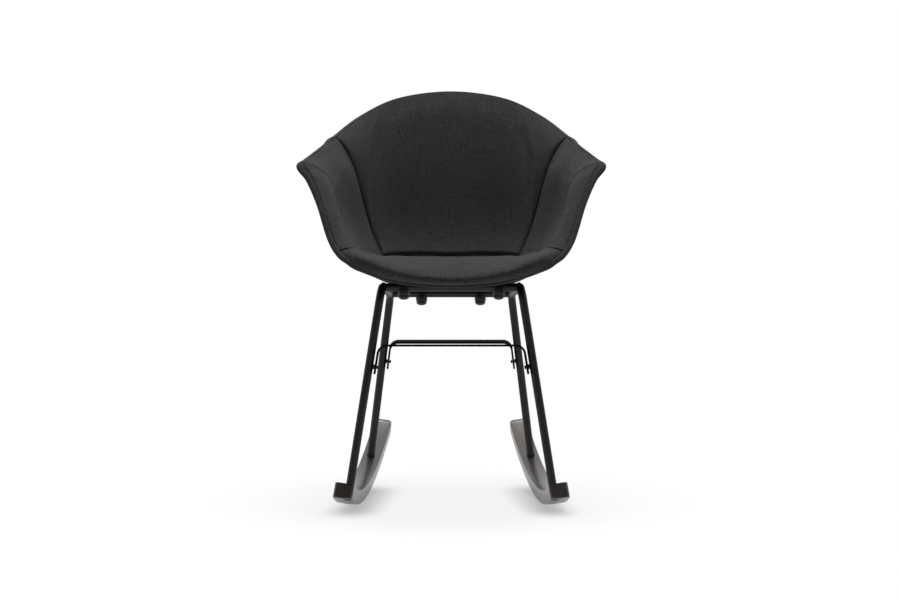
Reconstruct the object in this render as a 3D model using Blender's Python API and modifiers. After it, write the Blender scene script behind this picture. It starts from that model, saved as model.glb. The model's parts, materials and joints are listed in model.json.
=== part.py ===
# Upholstered rocking chair: a padded bucket shell on a bent tube frame with two wooden rockers.
# Metres, +Z up, the front of the chair towards -Y, standing on z = 0.
import math

import bmesh
import bpy
import numpy as np
from mathutils import Matrix, Vector
from mathutils.bvhtree import BVHTree

for old in list(bpy.data.objects):
    bpy.data.objects.remove(old)

# Tube frame
TUBE = 0.016
TUBE_WALL = 0.0018
BEND = 0.028
FRAME_FRONT = -0.160
FRAME_REAR = 0.150
FRAME_HEIGHT = 0.4410
FRAME_DROP = 0.0330
FRAME_HALF_WIDTH = 0.1345
FRAME_LEAN = 0.156
FRAME_TOE = 0.048
FOOT_FRONT = -0.187
FOOT_REAR = 0.200
FOOT_REAR_INSET = 0.0081
FOOT_LEVEL = 0.060
RAIL_INSET = 0.030

# Bucket seat
ARM_SPAN = 0.600
SHELL_DEPTH = 0.542
SHELL_RISE = 0.390
SEAT_SINK = 0.001
SEAT_FORWARD = 0.034
SHELL_WALL = 0.005
COVER = 0.003
PAD = 0.013
PAD_EDGE = 0.0045
SEAT_PAD = 0.033
SEAT_PAD_EDGE = 0.020
SEAT_ROLL_END = 0.036
BINDING = 0.008
SEAM = 0.0012

# Straps between the legs
STRAP = 0.004
STRAP_WIDTH = 0.024
STRAP_BEND = 0.018
STRAP_STANDOFF = 0.0026
STRAP_EDGE = 0.0008
FRONT_STRAP_HEIGHT = 0.3293
REAR_STRAP_HEIGHT = 0.3097
STRAP_TAB = 0.056
STRAP_SCREW = 0.042

# Rockers
ROCKER_RADIUS = 0.600
ROCKER_WIDTH = 0.038
ROCKER_DEPTH = 0.030
ROCKER_FRONT = -0.204
ROCKER_REAR = 0.340
ROCKER_HALF_TRACK = 0.1951
ROCKER_TOE = 0.1008
ROCKER_LEAN = 0.141
ROCKER_LAND = 0.016
ROCKER_EDGE = 0.003
ROCKER_END = 0.008
ROCKER_STEP = math.radians(2.8)
LEG_SOCKET = 0.010
PLUG_LENGTH = 0.027

# Seat mounts and fasteners
FRONT_MOUNT = 0.0923
REAR_MOUNT = 0.0602
BOSS = 0.017
BOSS_FLOOR = 0.0020
INSERT_WALL = 0.0016
SADDLE = 0.023
SADDLE_DEPTH = 0.0165
SADDLE_FLOOR = 0.0105
CAP_DOME = 0.0074
CAP_INSET = 0.0008
SOFT_EDGE = 0.001
SEAT_BOLT = 0.006
STRAP_BOLT = 0.004
ROCKER_BOLT = 0.006
ROCKER_BOLT_GRIP = 0.022
BOLT_RECESS = 0.0085
HEAD_ROOM = 0.0016
HEAD_SHARE = 0.90
HEAD_TALL = 0.72
KEY_SHARE = 0.40
KEY_DEEP = 0.35
NUT_WALL = 0.0018
NUT_FLANGE = 0.0016

FIT = 0.0005
ROUND = 12
SMALL_ROUND = 10
BOLT_ROUND = 8
KNOB_ROUND = 14
SHARP = math.radians(40)

parts = bpy.data.collections.new("upholstered_rocking_chair")
helpers = bpy.data.collections.new("cutters")
bpy.context.scene.collection.children.link(parts)
bpy.context.scene.collection.children.link(helpers)
origin = bpy.data.objects.new("origin", None)
parts.objects.link(origin)


def material(name, colour, metallic, roughness):
    made = bpy.data.materials.new(name)
    made.use_nodes = True
    shader = made.node_tree.nodes["Principled BSDF"]
    shader.inputs["Base Color"].default_value = (*colour, 1.0)
    shader.inputs["Metallic"].default_value = metallic
    shader.inputs["Roughness"].default_value = roughness
    return made


# An object with its mesh, standing at base with its Z along axis. Without looks it is a cutter.
def put(name, mesh, looks=None, base=(0, 0, 0), axis=None):
    made = bpy.data.objects.new(name, mesh)
    made.parent = origin
    made.location = base
    if axis is not None:
        made.rotation_euler = axis.to_track_quat("Z", "Y").to_euler()
    if looks is None:
        made.hide_render = True
        made.display_type = "WIRE"
        helpers.objects.link(made)
    else:
        mesh.materials.append(material(name, *looks))
        parts.objects.link(made)
    return made


def finished(name, bm):
    bmesh.ops.remove_doubles(bm, verts=bm.verts, dist=1e-6)
    bmesh.ops.recalc_face_normals(bm, faces=bm.faces)
    mesh = bpy.data.meshes.new(name)
    bm.to_mesh(mesh)
    bm.free()
    mesh.shade_smooth()
    mesh.set_sharp_from_angle(angle=SHARP)
    return mesh


def boolean(target, other, operation):
    step = target.modifiers.new(operation.lower(), "BOOLEAN")
    step.operation = operation
    step.solver = "EXACT"
    step.object = other


def unit(vector):
    return Vector(vector).normalized()


def rod(name, start, end, radius, sides=ROUND):
    bm = bmesh.new()
    run = end - start
    bmesh.ops.create_cone(
        bm, cap_ends=True, segments=sides, radius1=radius, radius2=radius, depth=run.length
    )
    return put(name, finished(name, bm), None, (start + end) / 2, run)


def drill(target, name, start, end, radius, sides=ROUND):
    boolean(target, rod(name, start, end, radius, sides), "DIFFERENCE")


# A profile of radius and height, from its top down the outer side, turned round an axis.
def turned(name, base, axis, profile, looks, sides=ROUND):
    count = len(profile)
    edges = [(k, k + 1) for k in range(count - 1)]
    if profile[0][0] and profile[-1][0]:
        edges.append((count - 1, 0))
    mesh = bpy.data.meshes.new(name)
    mesh.from_pydata([(radius, 0, height) for radius, height in profile], edges, [])
    made = put(name, mesh, looks, base, axis)
    turn = made.modifiers.new("turn", "SCREW")
    turn.steps = sides
    turn.render_steps = sides
    turn.use_merge_vertices = True
    turn.merge_threshold = 1e-5
    return made


# A socket-head bolt with the underside of its head at seat and its shank along axis.
def bolt(name, seat, axis, size, length):
    head, tall = HEAD_SHARE * size, HEAD_TALL * size
    socket, deep = KEY_SHARE * size, KEY_DEEP * size
    profile = [
        (0, length), (size / 2, length), (size / 2, 0), (head, 0), (head, -0.7 * tall),
        (0.8 * head, -tall), (socket, -tall), (socket, deep - tall), (0, deep - tall),
    ]
    turned(name, seat, axis, profile, ZINC, BOLT_ROUND)


# Corners of a path replaced by arcs.
def filleted(points, radius, steps):
    points = [Vector(p) for p in points]
    path = [points[0]]
    for before, corner, after in zip(points, points[1:], points[2:]):
        a = (before - corner).normalized()
        b = (after - corner).normalized()
        half = a.angle(b) / 2
        centre = corner + (a + b).normalized() * radius / math.sin(half)
        start = corner + a * radius / math.tan(half) - centre
        end = corner + b * radius / math.tan(half) - centre
        turn = start.angle(end)
        for k in range(steps + 1):
            t = turn * k / steps
            mixed = start * math.sin(turn - t) + end * math.sin(t)
            path.append(centre + mixed / math.sin(turn))
    return path + [points[-1]]


def line(name, points):
    curve = bpy.data.curves.new(name, "CURVE")
    curve.dimensions = "3D"
    spline = curve.splines.new("POLY")
    spline.points.add(len(points) - 1)
    for place, point in zip(spline.points, points):
        place.co = (*point, 1)
    return curve


# The surface that a curve draws with its bevel or extrusion, as a welded mesh.
def drawn(name, curve):
    guide = bpy.data.objects.new(name, curve)
    bpy.context.scene.collection.objects.link(guide)
    graph = bpy.context.evaluated_depsgraph_get()
    mesh = bpy.data.meshes.new_from_object(guide.evaluated_get(graph))
    bpy.data.objects.remove(guide)
    bm = bmesh.new()
    bm.from_mesh(mesh)
    return finished(name, bm)


def pipe(name, points, radius, caps):
    curve = line(name, points)
    curve.bevel_depth = radius
    curve.bevel_resolution = ROUND // 2 - 2
    curve.use_fill_caps = caps
    return drawn(name, curve)


def tube(name, points):
    made = put(name, pipe(name, points, TUBE / 2, False), STEEL)
    wall = made.modifiers.new("wall", "SOLIDIFY")
    wall.thickness = TUBE_WALL
    wall.offset = -1
    return made


# Looks
FABRIC = ((0.052, 0.049, 0.052), 0.0, 0.95)
PLASTIC = ((0.020, 0.020, 0.021), 0.0, 0.55)
STEEL = ((0.012, 0.012, 0.012), 0.0, 0.42)
WOOD = ((0.060, 0.052, 0.050), 0.0, 0.60)
ZINC = ((0.55, 0.55, 0.56), 1.0, 0.35)
BRASS = ((0.72, 0.52, 0.22), 1.0, 0.35)
NYLON = ((0.015, 0.015, 0.016), 0.0, 0.50)

# Bucket shape: half of it from the front centre round to the back centre. Each row holds the outer edge,
# the wall below it and the corner at the seat, as shares of half the span, of the depth and of the rise.
BUCKET = [
    ((0.000, -0.483, 0.015), (0.000, -0.483, 0.090), (0.000, -0.400, 0.095)),
    ((0.334, -0.476, 0.036), (0.308, -0.469, 0.098), (0.300, -0.390, 0.100)),
    ((0.580, -0.435, 0.098), (0.530, -0.414, 0.138), (0.500, -0.355, 0.104)),
    ((0.665, -0.410, 0.141), (0.600, -0.381, 0.150), (0.585, -0.325, 0.095)),
    ((0.726, -0.378, 0.182), (0.645, -0.353, 0.160), (0.640, -0.290, 0.080)),
    ((0.786, -0.328, 0.266), (0.690, -0.305, 0.203), (0.690, -0.240, 0.052)),
    ((0.855, -0.258, 0.428), (0.718, -0.235, 0.300), (0.735, -0.175, 0.016)),
    ((0.930, -0.199, 0.546), (0.737, -0.175, 0.400), (0.765, -0.110, -0.014)),
    ((0.992, -0.157, 0.604), (0.750, -0.125, 0.445), (0.770, -0.060, -0.034)),
    ((0.964, -0.095, 0.629), (0.750, -0.065, 0.470), (0.765, -0.005, -0.050)),
    ((0.868, 0.025, 0.692), (0.715, 0.080, 0.500), (0.730, 0.140, -0.090)),
    ((0.794, 0.160, 0.749), (0.590, 0.230, 0.520), (0.580, 0.300, -0.133)),
    ((0.615, 0.350, 0.865), (0.445, 0.357, 0.520), (0.410, 0.365, -0.140)),
    ((0.364, 0.464, 0.960), (0.250, 0.420, 0.500), (0.230, 0.388, -0.145)),
    ((0.000, 0.517, 0.997), (0.000, 0.434, 0.470), (0.000, 0.395, -0.145)),
]
POLE = (0.000, 0.000, 0.018)
NEAR_POLE = 0.5
NEAR_POLE_RISE = 0.35
FRONT_CORNER_ROW = 4
SHOULDER_ROW = 11
COLUMN_COUNT = 2
SEAT_EDGE = [0.62, 0.60, 0.57, 0.54, 0.50, 0.48, 0.46, 0.45, 0.44, 0.44, 0.43, 0.42, 0.41, 0.40, 0.40]
ROLL_END_SHARE = 0.72
ROLL_FADE_COUNT = 6
SEAT_STEPS = [0.0, 0.40, 0.75, 1.0]
WALL_STEPS = [0.12, 0.32, 0.54, 0.74, 0.89, 1.0]
COLUMN_RUN = 0.018
RIB_RUN = 0.30
PANEL_FOOT = 0.12


def placed(share):
    return np.array(
        [
            share[0] * ARM_SPAN / 2,
            share[1] * SHELL_DEPTH - SEAT_FORWARD,
            FRAME_HEIGHT - SEAT_SINK + share[2] * SHELL_RISE,
        ]
    )


# The bucket's keyed rows with their mirror images on both sides, for smooth ends.
def keyed(column):
    rows = [placed(row[column]) for row in BUCKET]
    flip = np.array([-1, 1, 1])
    return np.array([rows[1] * flip] + rows + [rows[-2] * flip])


def along_rows(values, t):
    i = min(int(t), len(values) - 4)
    s = t - i
    a, b, c, d = values[i : i + 4]
    return b + 0.5 * s * (c - a + s * (2 * a - 5 * b + 4 * c - d + s * (3 * (b - c) + d - a)))


EDGE_KEYS, WALL_KEYS, CORNER_KEYS = keyed(0), keyed(1), keyed(2)
SEAT_EDGE_KEYS = np.array([SEAT_EDGE[1]] + SEAT_EDGE + [SEAT_EDGE[-2]])


# Point of the shell's inner face. Here t runs from the front centre round to the back centre,
# and r from the pole out to the edge.
def bucket(t, r):
    edge = along_rows(EDGE_KEYS, t)
    wall = along_rows(WALL_KEYS, t)
    corner = along_rows(CORNER_KEYS, t)
    pole = placed(POLE)
    run = edge - wall
    edge = edge - run * BINDING / np.linalg.norm(run)
    near = pole + NEAR_POLE * (corner - pole)
    near[2] = pole[2] + NEAR_POLE_RISE * (corner[2] - pole[2])
    q = 1 - r
    return (
        q**4 * pole + 4 * q**3 * r * near + 6 * q * q * r * r * corner
        + 4 * q * r**3 * wall + r**4 * edge
    )


def bucket_normal(t, r):
    step = 1e-3
    r = min(max(r, 0.02), 1 - step)
    last = len(BUCKET) - 1
    across = bucket(min(t + step, last), r) - bucket(max(t - step, 0), r)
    outward = bucket(t, r + step) - bucket(t, r - step)
    normal = np.cross(outward, across)
    return normal / np.linalg.norm(normal)


LAST = (len(BUCKET) - 1) * COLUMN_COUNT
CORNER_COLUMN = FRONT_CORNER_ROW * COLUMN_COUNT
SHOULDER_COLUMN = SHOULDER_ROW * COLUMN_COUNT
SEAT_ROW = len(SEAT_STEPS) - 1
LAST_ROW = SEAT_ROW + len(WALL_STEPS)


def share_out(column, row):
    edge = along_rows(SEAT_EDGE_KEYS, column / COLUMN_COUNT)
    if row <= SEAT_ROW:
        return edge * SEAT_STEPS[row]
    return edge + (1 - edge) * WALL_STEPS[row - SEAT_ROW - 1]


# A grid vertex at a distance from the shell's inner face. Columns past the back centre
# are the mirrored left half.
def vertex(column, row, distance, shift_column=0.0, shift_row=0.0):
    column = column % (2 * LAST)
    side = 1
    if column > LAST:
        column = 2 * LAST - column
        shift_column = -shift_column
        side = -1
    t = (column + shift_column) / COLUMN_COUNT
    r = min(share_out(column, row) + shift_row, 1.0)
    if row == 0:
        point, normal = bucket(0, 0), np.array([0, 0, 1.0])
    else:
        point, normal = bucket(t, r), bucket_normal(t, r)
        if column in (0, LAST):
            normal[0] = 0
            normal = normal / np.linalg.norm(normal)
    point = point + distance * normal
    return Vector((side * point[0], point[1], point[2]))


# A closed layer over the given grid cells, between two distances from the shell's inner face.
def layer(name, cells, low, high, shift=lambda column, row: (0.0, 0.0)):
    bm = bmesh.new()
    made = {}

    def corner(column, row, top):
        key = (column % (2 * LAST) if row else 0, row, top)
        if key not in made:
            distance = (high if top else low)(column % (2 * LAST), row)
            moved = shift(column % (2 * LAST), row)
            made[key] = bm.verts.new(vertex(column, row, distance, *moved))
        return made[key]

    edges = {}
    for column, row in cells:
        loop = [(column, row), (column + 1, row), (column + 1, row + 1), (column, row + 1)]
        if row == 0:
            loop = [(column, 0), (column + 1, 1), (column, 1)]
        for top in (True, False):
            bm.faces.new([corner(c, r, top) for c, r in loop])
        for a, b in zip(loop, loop[1:] + loop[:1]):
            ends = tuple(sorted((c % (2 * LAST) if r else 0, r) for c, r in (a, b)))
            edges.setdefault(ends, []).append((a, b))
    for (a, b), *more in edges.values():
        if not more:
            bm.faces.new([corner(*a, True), corner(*b, True), corner(*b, False), corner(*a, False)])
    return finished(name, bm)


def level(value):
    return lambda column, row: value


everywhere = [(c, r) for c in range(2 * LAST) for r in range(LAST_ROW)]
cover_top = -SHELL_WALL - FIT

shell = put("seat_shell", layer("seat_shell", everywhere, level(-SHELL_WALL), level(0.0)), PLASTIC)
cover = layer("outer_cover", everywhere, level(cover_top - COVER), level(cover_top))
cover = put("outer_cover", cover, FABRIC)


# Padding thickness: full in the middle of a panel and thin towards its seams.
def swell(place):
    return math.sin(math.pi * min(max(place, 0.0), 1.0)) ** 0.5


def panel_thickness(first, last):
    def thickness(column, row):
        across = (column - first) / (last - first)
        up = (row - SEAT_ROW) / (LAST_ROW - SEAT_ROW)
        return FIT + PAD_EDGE + (PAD - PAD_EDGE) * swell(across) * swell(PANEL_FOOT + (1 - PANEL_FOOT) * up)

    return thickness


# How far a panel's outline keeps back from the seam, in columns and in share of the rib.
def seam_shift(first, last):
    def shift(column, row):
        columns = SEAM / 2 / COLUMN_RUN * ((column == first) - (column == last))
        rows = SEAM / 2 / RIB_RUN * (row == SEAT_ROW)
        return columns, rows

    return shift


def panel(name, first, last):
    cells = [(c, r) for c in range(first, last) for r in range(SEAT_ROW, LAST_ROW)]
    mesh = layer(name, cells, level(FIT), panel_thickness(first, last), seam_shift(first, last))
    put(name, mesh, FABRIC)


panel("right_arm_pad", CORNER_COLUMN, SHOULDER_COLUMN)
panel("back_pad", SHOULDER_COLUMN, 2 * LAST - SHOULDER_COLUMN)
panel("left_arm_pad", 2 * LAST - SHOULDER_COLUMN, 2 * LAST - CORNER_COLUMN)


# The seat pad fills the seat and runs over the front lip between the two front corners.
def in_front(column):
    return min(column, 2 * LAST - column) <= CORNER_COLUMN


def seat_thickness(column, row):
    near = min(column, 2 * LAST - column)
    inner = min(row / SEAT_ROW, 1)
    if near > CORNER_COLUMN:
        fade = max(0.0, 1 - (near - CORNER_COLUMN) / ROLL_FADE_COUNT) ** 2
        edge = SEAT_PAD_EDGE + (ROLL_END_SHARE * SEAT_ROLL_END - SEAT_PAD_EDGE) * fade
        return FIT + SEAT_PAD + (edge - SEAT_PAD) * inner**2
    side = near / CORNER_COLUMN
    end = max(0.0, 4 * side - 3) ** 2
    full = SEAT_PAD + (SEAT_ROLL_END - SEAT_PAD) * side**2 * inner**2
    full = full * (1 - (1 - ROLL_END_SHARE) * end * inner**2)
    if row <= SEAT_ROW:
        return FIT + full
    place = (row - SEAT_ROW) / (LAST_ROW - SEAT_ROW)
    return FIT + PAD_EDGE + (full - PAD_EDGE) * math.sqrt(max(0.0, 1 - place**2.2))


def seat_shift(column, row):
    near = min(column, 2 * LAST - column)
    if row < SEAT_ROW:
        return 0.0, 0.0
    if row == SEAT_ROW and near >= CORNER_COLUMN:
        return 0.0, -SEAM / 2 / RIB_RUN
    columns = SEAM / 2 / COLUMN_RUN * (near == CORNER_COLUMN)
    return (-columns if column <= LAST else columns), 0.0


seat_cells = [
    (c, r)
    for c in range(2 * LAST)
    for r in range(LAST_ROW)
    if r < SEAT_ROW or (in_front(c) and in_front((c + 1) % (2 * LAST)))
]
seat_mesh = layer("seat_pad", seat_cells, level(FIT), seat_thickness, seat_shift)
seat_pad = put("seat_pad", seat_mesh, FABRIC)

# Edge binding: a rounded strip that closes the layers all round the rim.
binding_low = cover_top - COVER
binding_high = FIT + PAD_EDGE
binding_tall = binding_high - binding_low
BINDING_SECTION = [
    (0.06, 0.0), (0.06, 1.0), (0.55, 1.0), (0.88, 0.76), (1.0, 0.5), (0.88, 0.24), (0.55, 0.0),
]
CORNER_GAP = 0.0012
TIP_GAP = 0.0012
TIP_ROW = 8


def binding_ring(column):
    side = 1 if column <= LAST else -1
    near = min(column, 2 * LAST - column)
    t = near / COLUMN_COUNT
    edge = bucket(t, 1.0)
    out = edge - bucket(t, 0.995)
    out = out / np.linalg.norm(out)
    normal = bucket_normal(t, 1.0)
    if near in (0, LAST):
        out[0] = 0
        normal[0] = 0
    # The strip turns quickly at the front corners and the arm tips, so it keeps a little more distance there.
    slack = CORNER_GAP * max(0.0, 1 - abs(t - FRONT_CORNER_ROW + 1.5) / 2.5)
    slack += TIP_GAP * max(0.0, 1 - abs(t - TIP_ROW) / 2)
    edge = edge + out * slack
    ring = []
    for along, across in BINDING_SECTION:
        point = edge + out * along * BINDING + normal * (binding_low + across * binding_tall)
        ring.append(Vector((side * point[0], point[1], point[2])))
    return ring


bm = bmesh.new()
rings = [[bm.verts.new(p) for p in binding_ring(c)] for c in range(2 * LAST)]
for a, b in zip(rings, rings[1:] + rings[:1]):
    for k in range(len(a)):
        n = (k + 1) % len(a)
        bm.faces.new((a[k], a[n], b[n], b[k]))
put("edge_binding", finished("edge_binding", bm), FABRIC)

# Side frames: front leg, side rail and rear leg in one bent tube that leans and toes in. The rear leg stands steeper.
FRAME_X = FRAME_HALF_WIDTH + FRAME_LEAN * FRAME_HEIGHT + FRAME_TOE * FRAME_FRONT
FRAME_REAR_HEIGHT = FRAME_HEIGHT - FRAME_DROP
BEND_STEPS = 6
SIDES = (("right", 1), ("left", -1))


def frame_point(side, y, z):
    return Vector((side * (FRAME_X - FRAME_LEAN * z - FRAME_TOE * y), y, z))


# The plane of one rocker: along it, out to the side and up, with the centre of its arc.
class RockerFrame:
    def __init__(self, side):
        self.along = unit((-side * ROCKER_TOE, 1, 0))
        self.out = unit((side, ROCKER_TOE, ROCKER_LEAN))
        self.up = self.out.cross(self.along) * side
        self.up.normalize()
        # The flat step in the middle of the arc touches the floor with its planed land.
        sagitta = ROCKER_RADIUS * (1 - math.cos(ROCKER_STEP / 2))
        land = (ROCKER_LAND - ROCKER_WIDTH / 2) * self.out.z
        lowest = Vector((side * ROCKER_HALF_TRACK, 0, -land - sagitta * self.up.z))
        self.centre = lowest + self.up * ROCKER_RADIUS

    def point(self, angle, radius):
        return self.centre + (self.along * math.sin(angle) - self.up * math.cos(angle)) * radius

    def depth(self, point):
        arm = point - self.centre
        return (arm - self.out * arm.dot(self.out)).length

    # Where a line from above meets the rocker's top.
    def landing(self, start, direction):
        low, high = 0.0, 1.0
        for _ in range(50):
            middle = (low + high) / 2
            if self.depth(start + direction * middle) < ROCKER_RADIUS - ROCKER_DEPTH:
                low = middle
            else:
                high = middle
        return start + direction * low


# A bar spun along its arc in flat steps, planed level along its inner lower edge
# and sawn off at both ends.
def rocker_bar(name, side, frame):
    first = math.asin(ROCKER_FRONT / ROCKER_RADIUS)
    last = math.asin(ROCKER_REAR / ROCKER_RADIUS)
    ahead = math.ceil(-first / ROCKER_STEP) + 0.5
    behind = math.ceil(last / ROCKER_STEP) + 0.5
    half, deep = ROCKER_WIDTH / 2, ROCKER_DEPTH / 2
    planed = ROCKER_LAND * frame.out.z / frame.up.z
    section = [
        (-half, deep), (half, deep), (half, -deep), (ROCKER_LAND - half, -deep), (-half, planed - deep),
    ]
    start = frame.point(-ahead * ROCKER_STEP, ROCKER_RADIUS - deep)
    inward = (frame.centre - start).normalized()
    bm = bmesh.new()
    face = bm.faces.new([bm.verts.new(start + frame.out * s + inward * h) for s, h in section])
    spin_axis = frame.along.cross(frame.up)
    bmesh.ops.spin(
        bm, geom=[face], cent=frame.centre, axis=-spin_axis,
        angle=-(ahead + behind) * ROCKER_STEP, steps=round(ahead + behind), use_duplicate=False,
    )
    for angle, way in ((first, -1), (last, 1)):
        cut = frame.along * math.cos(angle) + frame.up * math.sin(angle)
        found = bmesh.ops.bisect_plane(
            bm, geom=bm.verts[:] + bm.edges[:] + bm.faces[:], dist=1e-6,
            plane_co=frame.centre, plane_no=cut * way, clear_outer=True,
        )
        rim = [e for e in found["geom_cut"] if isinstance(e, bmesh.types.BMEdge)]
        bmesh.ops.edgeloop_fill(bm, edges=rim)
    bmesh.ops.remove_doubles(bm, verts=bm.verts, dist=1e-6)
    bmesh.ops.recalc_face_normals(bm, faces=bm.faces)
    # The upright edges at the ends are rounded most.
    upright = []
    for angle in (first, last):
        across = frame.along * math.cos(angle) + frame.up * math.sin(angle)
        for edge in bm.edges:
            run = edge.verts[1].co - edge.verts[0].co
            flat = all(abs((v.co - frame.centre).dot(across)) < 1e-5 for v in edge.verts)
            if flat and abs(unit(run).dot(frame.out)) < 0.5:
                upright.append(edge)
    bmesh.ops.bevel(
        bm, geom=upright, offset=ROCKER_END, segments=3, profile=0.5, affect="EDGES", clamp_overlap=True
    )
    bar = put(name, finished(name, bm), WOOD)
    ease = bar.modifiers.new("edges", "BEVEL")
    ease.width = ROCKER_EDGE
    ease.segments = 2
    ease.limit_method = "ANGLE"
    ease.angle_limit = math.radians(50)
    return bar


legs = {}
frames = {}
frame_paths = {}

for name, side in SIDES:
    rocker = RockerFrame(side)
    front_top = frame_point(side, FRAME_FRONT, FRAME_HEIGHT)
    rear_top = frame_point(side, FRAME_REAR, FRAME_REAR_HEIGHT)
    front_foot = frame_point(side, FOOT_FRONT, FOOT_LEVEL)
    rear_foot = frame_point(side, FOOT_REAR, FOOT_LEVEL) - Vector((side * FOOT_REAR_INSET, 0, 0))
    for end, top, aim in (("front", front_top, front_foot), ("rear", rear_top, rear_foot)):
        down = unit(aim - top)
        foot = rocker.landing(top, down) + down * LEG_SOCKET
        legs[end, name] = (top, foot, down)
    corners = [legs["front", name][1], front_top, rear_top, legs["rear", name][1]]
    frame_paths[name] = filleted(corners, BEND, BEND_STEPS)
    frames[name] = tube(f"{name}_side_frame", frame_paths[name])
    bar = rocker_bar(f"{name}_rocker", side, rocker)

    # Each leg stands in a socket. A bolt from below draws it down by the plug in its end.
    for end in ("front", "rear"):
        top, foot, down = legs[end, name]
        label = f"{end}_{name}"
        through = foot + down * 2 * ROCKER_DEPTH
        head = foot + down * (ROCKER_DEPTH - LEG_SOCKET - BOLT_RECESS)
        bore = ROCKER_BOLT / 2 + FIT
        drill(bar, f"{label}_socket_cut", foot - down * 2 * ROCKER_DEPTH, foot + down * FIT, TUBE / 2 + FIT)
        drill(bar, f"{label}_bolt_cut", foot - down * LEG_SOCKET, through, bore, SMALL_ROUND)
        drill(bar, f"{label}_head_cut", head, through, HEAD_SHARE * ROCKER_BOLT + HEAD_ROOM)
        plug = TUBE / 2 - TUBE_WALL - FIT
        low, high = SOFT_EDGE, SOFT_EDGE + PLUG_LENGTH
        profile = [(bore, high), (plug, high), (plug, low), (bore, low)]
        turned(f"{label}_leg_plug", foot, -down, profile, NYLON, SMALL_ROUND)
        seat = head + down * FIT
        bolt(f"{label}_rocker_bolt", seat, -down, ROCKER_BOLT, ROCKER_BOLT_GRIP + (seat - foot).length)

# Cross rails, coped to the side frames, with the seat mounts on them.
slope = math.atan2(FRAME_DROP, FRAME_REAR - FRAME_FRONT)
rise = unit((0, math.sin(slope), math.cos(slope)))
under_mesh = layer("under_shell", everywhere, level(-SHELL_WALL * 0.2), level(-SHELL_WALL * 0.1))
under_bm = bmesh.new()
under_bm.from_mesh(under_mesh)
under = BVHTree.FromBMesh(under_bm)
under_bm.free()
copes = [
    put(f"{name}_cope", pipe(f"{name}_cope", path, TUBE / 2 + FIT, True))
    for name, path in frame_paths.items()
]

for end, mount in (("front", FRONT_MOUNT), ("rear", REAR_MOUNT)):
    y = FRAME_FRONT + RAIL_INSET if end == "front" else FRAME_REAR - RAIL_INSET
    z = FRAME_HEIGHT - (y - FRAME_FRONT) * math.tan(slope)
    right_end = frame_point(1, y, z)
    left_end = frame_point(-1, y, z)
    rail = tube(f"{end}_rail", [left_end, right_end])
    for cope in copes:
        boolean(rail, cope, "DIFFERENCE")
    rail_cut = rod(f"{end}_rail_cut", left_end, right_end, TUBE / 2 + FIT)
    for name, side in SIDES:
        label = f"{end}_{name}"
        centre = Vector((side * mount, y, z))
        bore = SEAT_BOLT / 2 + FIT
        drill(rail, f"{label}_rail_hole", centre - rise * TUBE, centre + rise * TUBE, bore, SMALL_ROUND)

        # Boss under the shell, as tall as the shell's lowest point round its rim, with its brass insert.
        turns = [math.tau * k / ROUND for k in range(ROUND)]
        rays = [Vector((math.cos(t), 0, 0)) + rise.cross((1, 0, 0)) * math.sin(t) for t in turns]
        tall = min(under.ray_cast(centre + ray * BOSS / 2, rise)[3] for ray in rays)
        top = centre + rise * tall
        boss = rod(f"{label}_boss", centre + rise * TUBE / 4, top, BOSS / 2)
        boolean(shell, boss, "UNION")
        drill(cover, f"{label}_cover_cut", centre, top, BOSS / 2 + FIT)
        insert = SEAT_BOLT / 2 + INSERT_WALL
        depth = tall - BOSS_FLOOR
        drill(shell, f"{label}_insert_cut", centre, centre + rise * depth, insert + FIT)
        low, high = TUBE / 2 + SOFT_EDGE, depth - FIT
        profile = [(bore, high), (insert, high), (insert, low), (bore, low)]
        turned(f"{label}_insert", centre, rise, profile, BRASS, SMALL_ROUND)

        # Saddle below the rail, the bolt up through it and a domed cap over the bolt's head.
        room = HEAD_SHARE * SEAT_BOLT + HEAD_ROOM
        wide = SADDLE / 2
        profile = [
            (bore, -SOFT_EDGE), (wide, -SOFT_EDGE), (wide, SOFT_EDGE - SADDLE_DEPTH),
            (wide - SOFT_EDGE, -SADDLE_DEPTH), (room, -SADDLE_DEPTH), (room, -SADDLE_FLOOR),
            (bore, -SADDLE_FLOOR),
        ]
        saddle = turned(f"{label}_saddle", centre, rise, profile, NYLON, KNOB_ROUND)
        boolean(saddle, rail_cut, "DIFFERENCE")
        seat = centre - rise * (SADDLE_FLOOR + FIT)
        bolt(f"{label}_seat_bolt", seat, rise, SEAT_BOLT, SADDLE_FLOOR + depth - BOSS_FLOOR)
        cap = wide - CAP_INSET
        spigot = room - FIT
        profile = [
            (0, SOFT_EDGE), (spigot, SOFT_EDGE), (spigot, 0), (cap - SOFT_EDGE, 0), (cap, -SOFT_EDGE),
            (0.9 * cap, -0.54 * CAP_DOME), (0.6 * cap, -0.86 * CAP_DOME), (0, -CAP_DOME),
        ]
        turned(f"{label}_cap", centre - rise * (SADDLE_DEPTH + FIT), rise, profile, NYLON, KNOB_ROUND)
    boolean(shell, rail_cut, "DIFFERENCE")


# A flat bar bent into a shallow arch: a ribbon across the chair, given its thickness and eased edges.
def strap_bar(name, points, down):
    flat = unit((0, down.z, -down.y))
    turn = Matrix((unit((1, 0, 0)), flat.cross((1, 0, 0)), flat)).transposed()
    path = filleted(points, STRAP_BEND, BEND_STEPS)
    middle = (points[1] + points[2]) / 2
    curve = line(name, [turn.transposed() @ (p - middle) for p in path])
    curve.extrude = STRAP_WIDTH / 2
    strap = put(name, drawn(name, curve), STEEL, middle)
    strap.rotation_euler = turn.to_euler()
    thick = strap.modifiers.new("thickness", "SOLIDIFY")
    thick.thickness = STRAP
    thick.offset = 0
    thick.use_even_offset = True
    ease = strap.modifiers.new("edges", "BEVEL")
    ease.width = STRAP_EDGE
    ease.segments = 1
    ease.limit_method = "ANGLE"
    ease.angle_limit = math.radians(50)
    return strap


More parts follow.
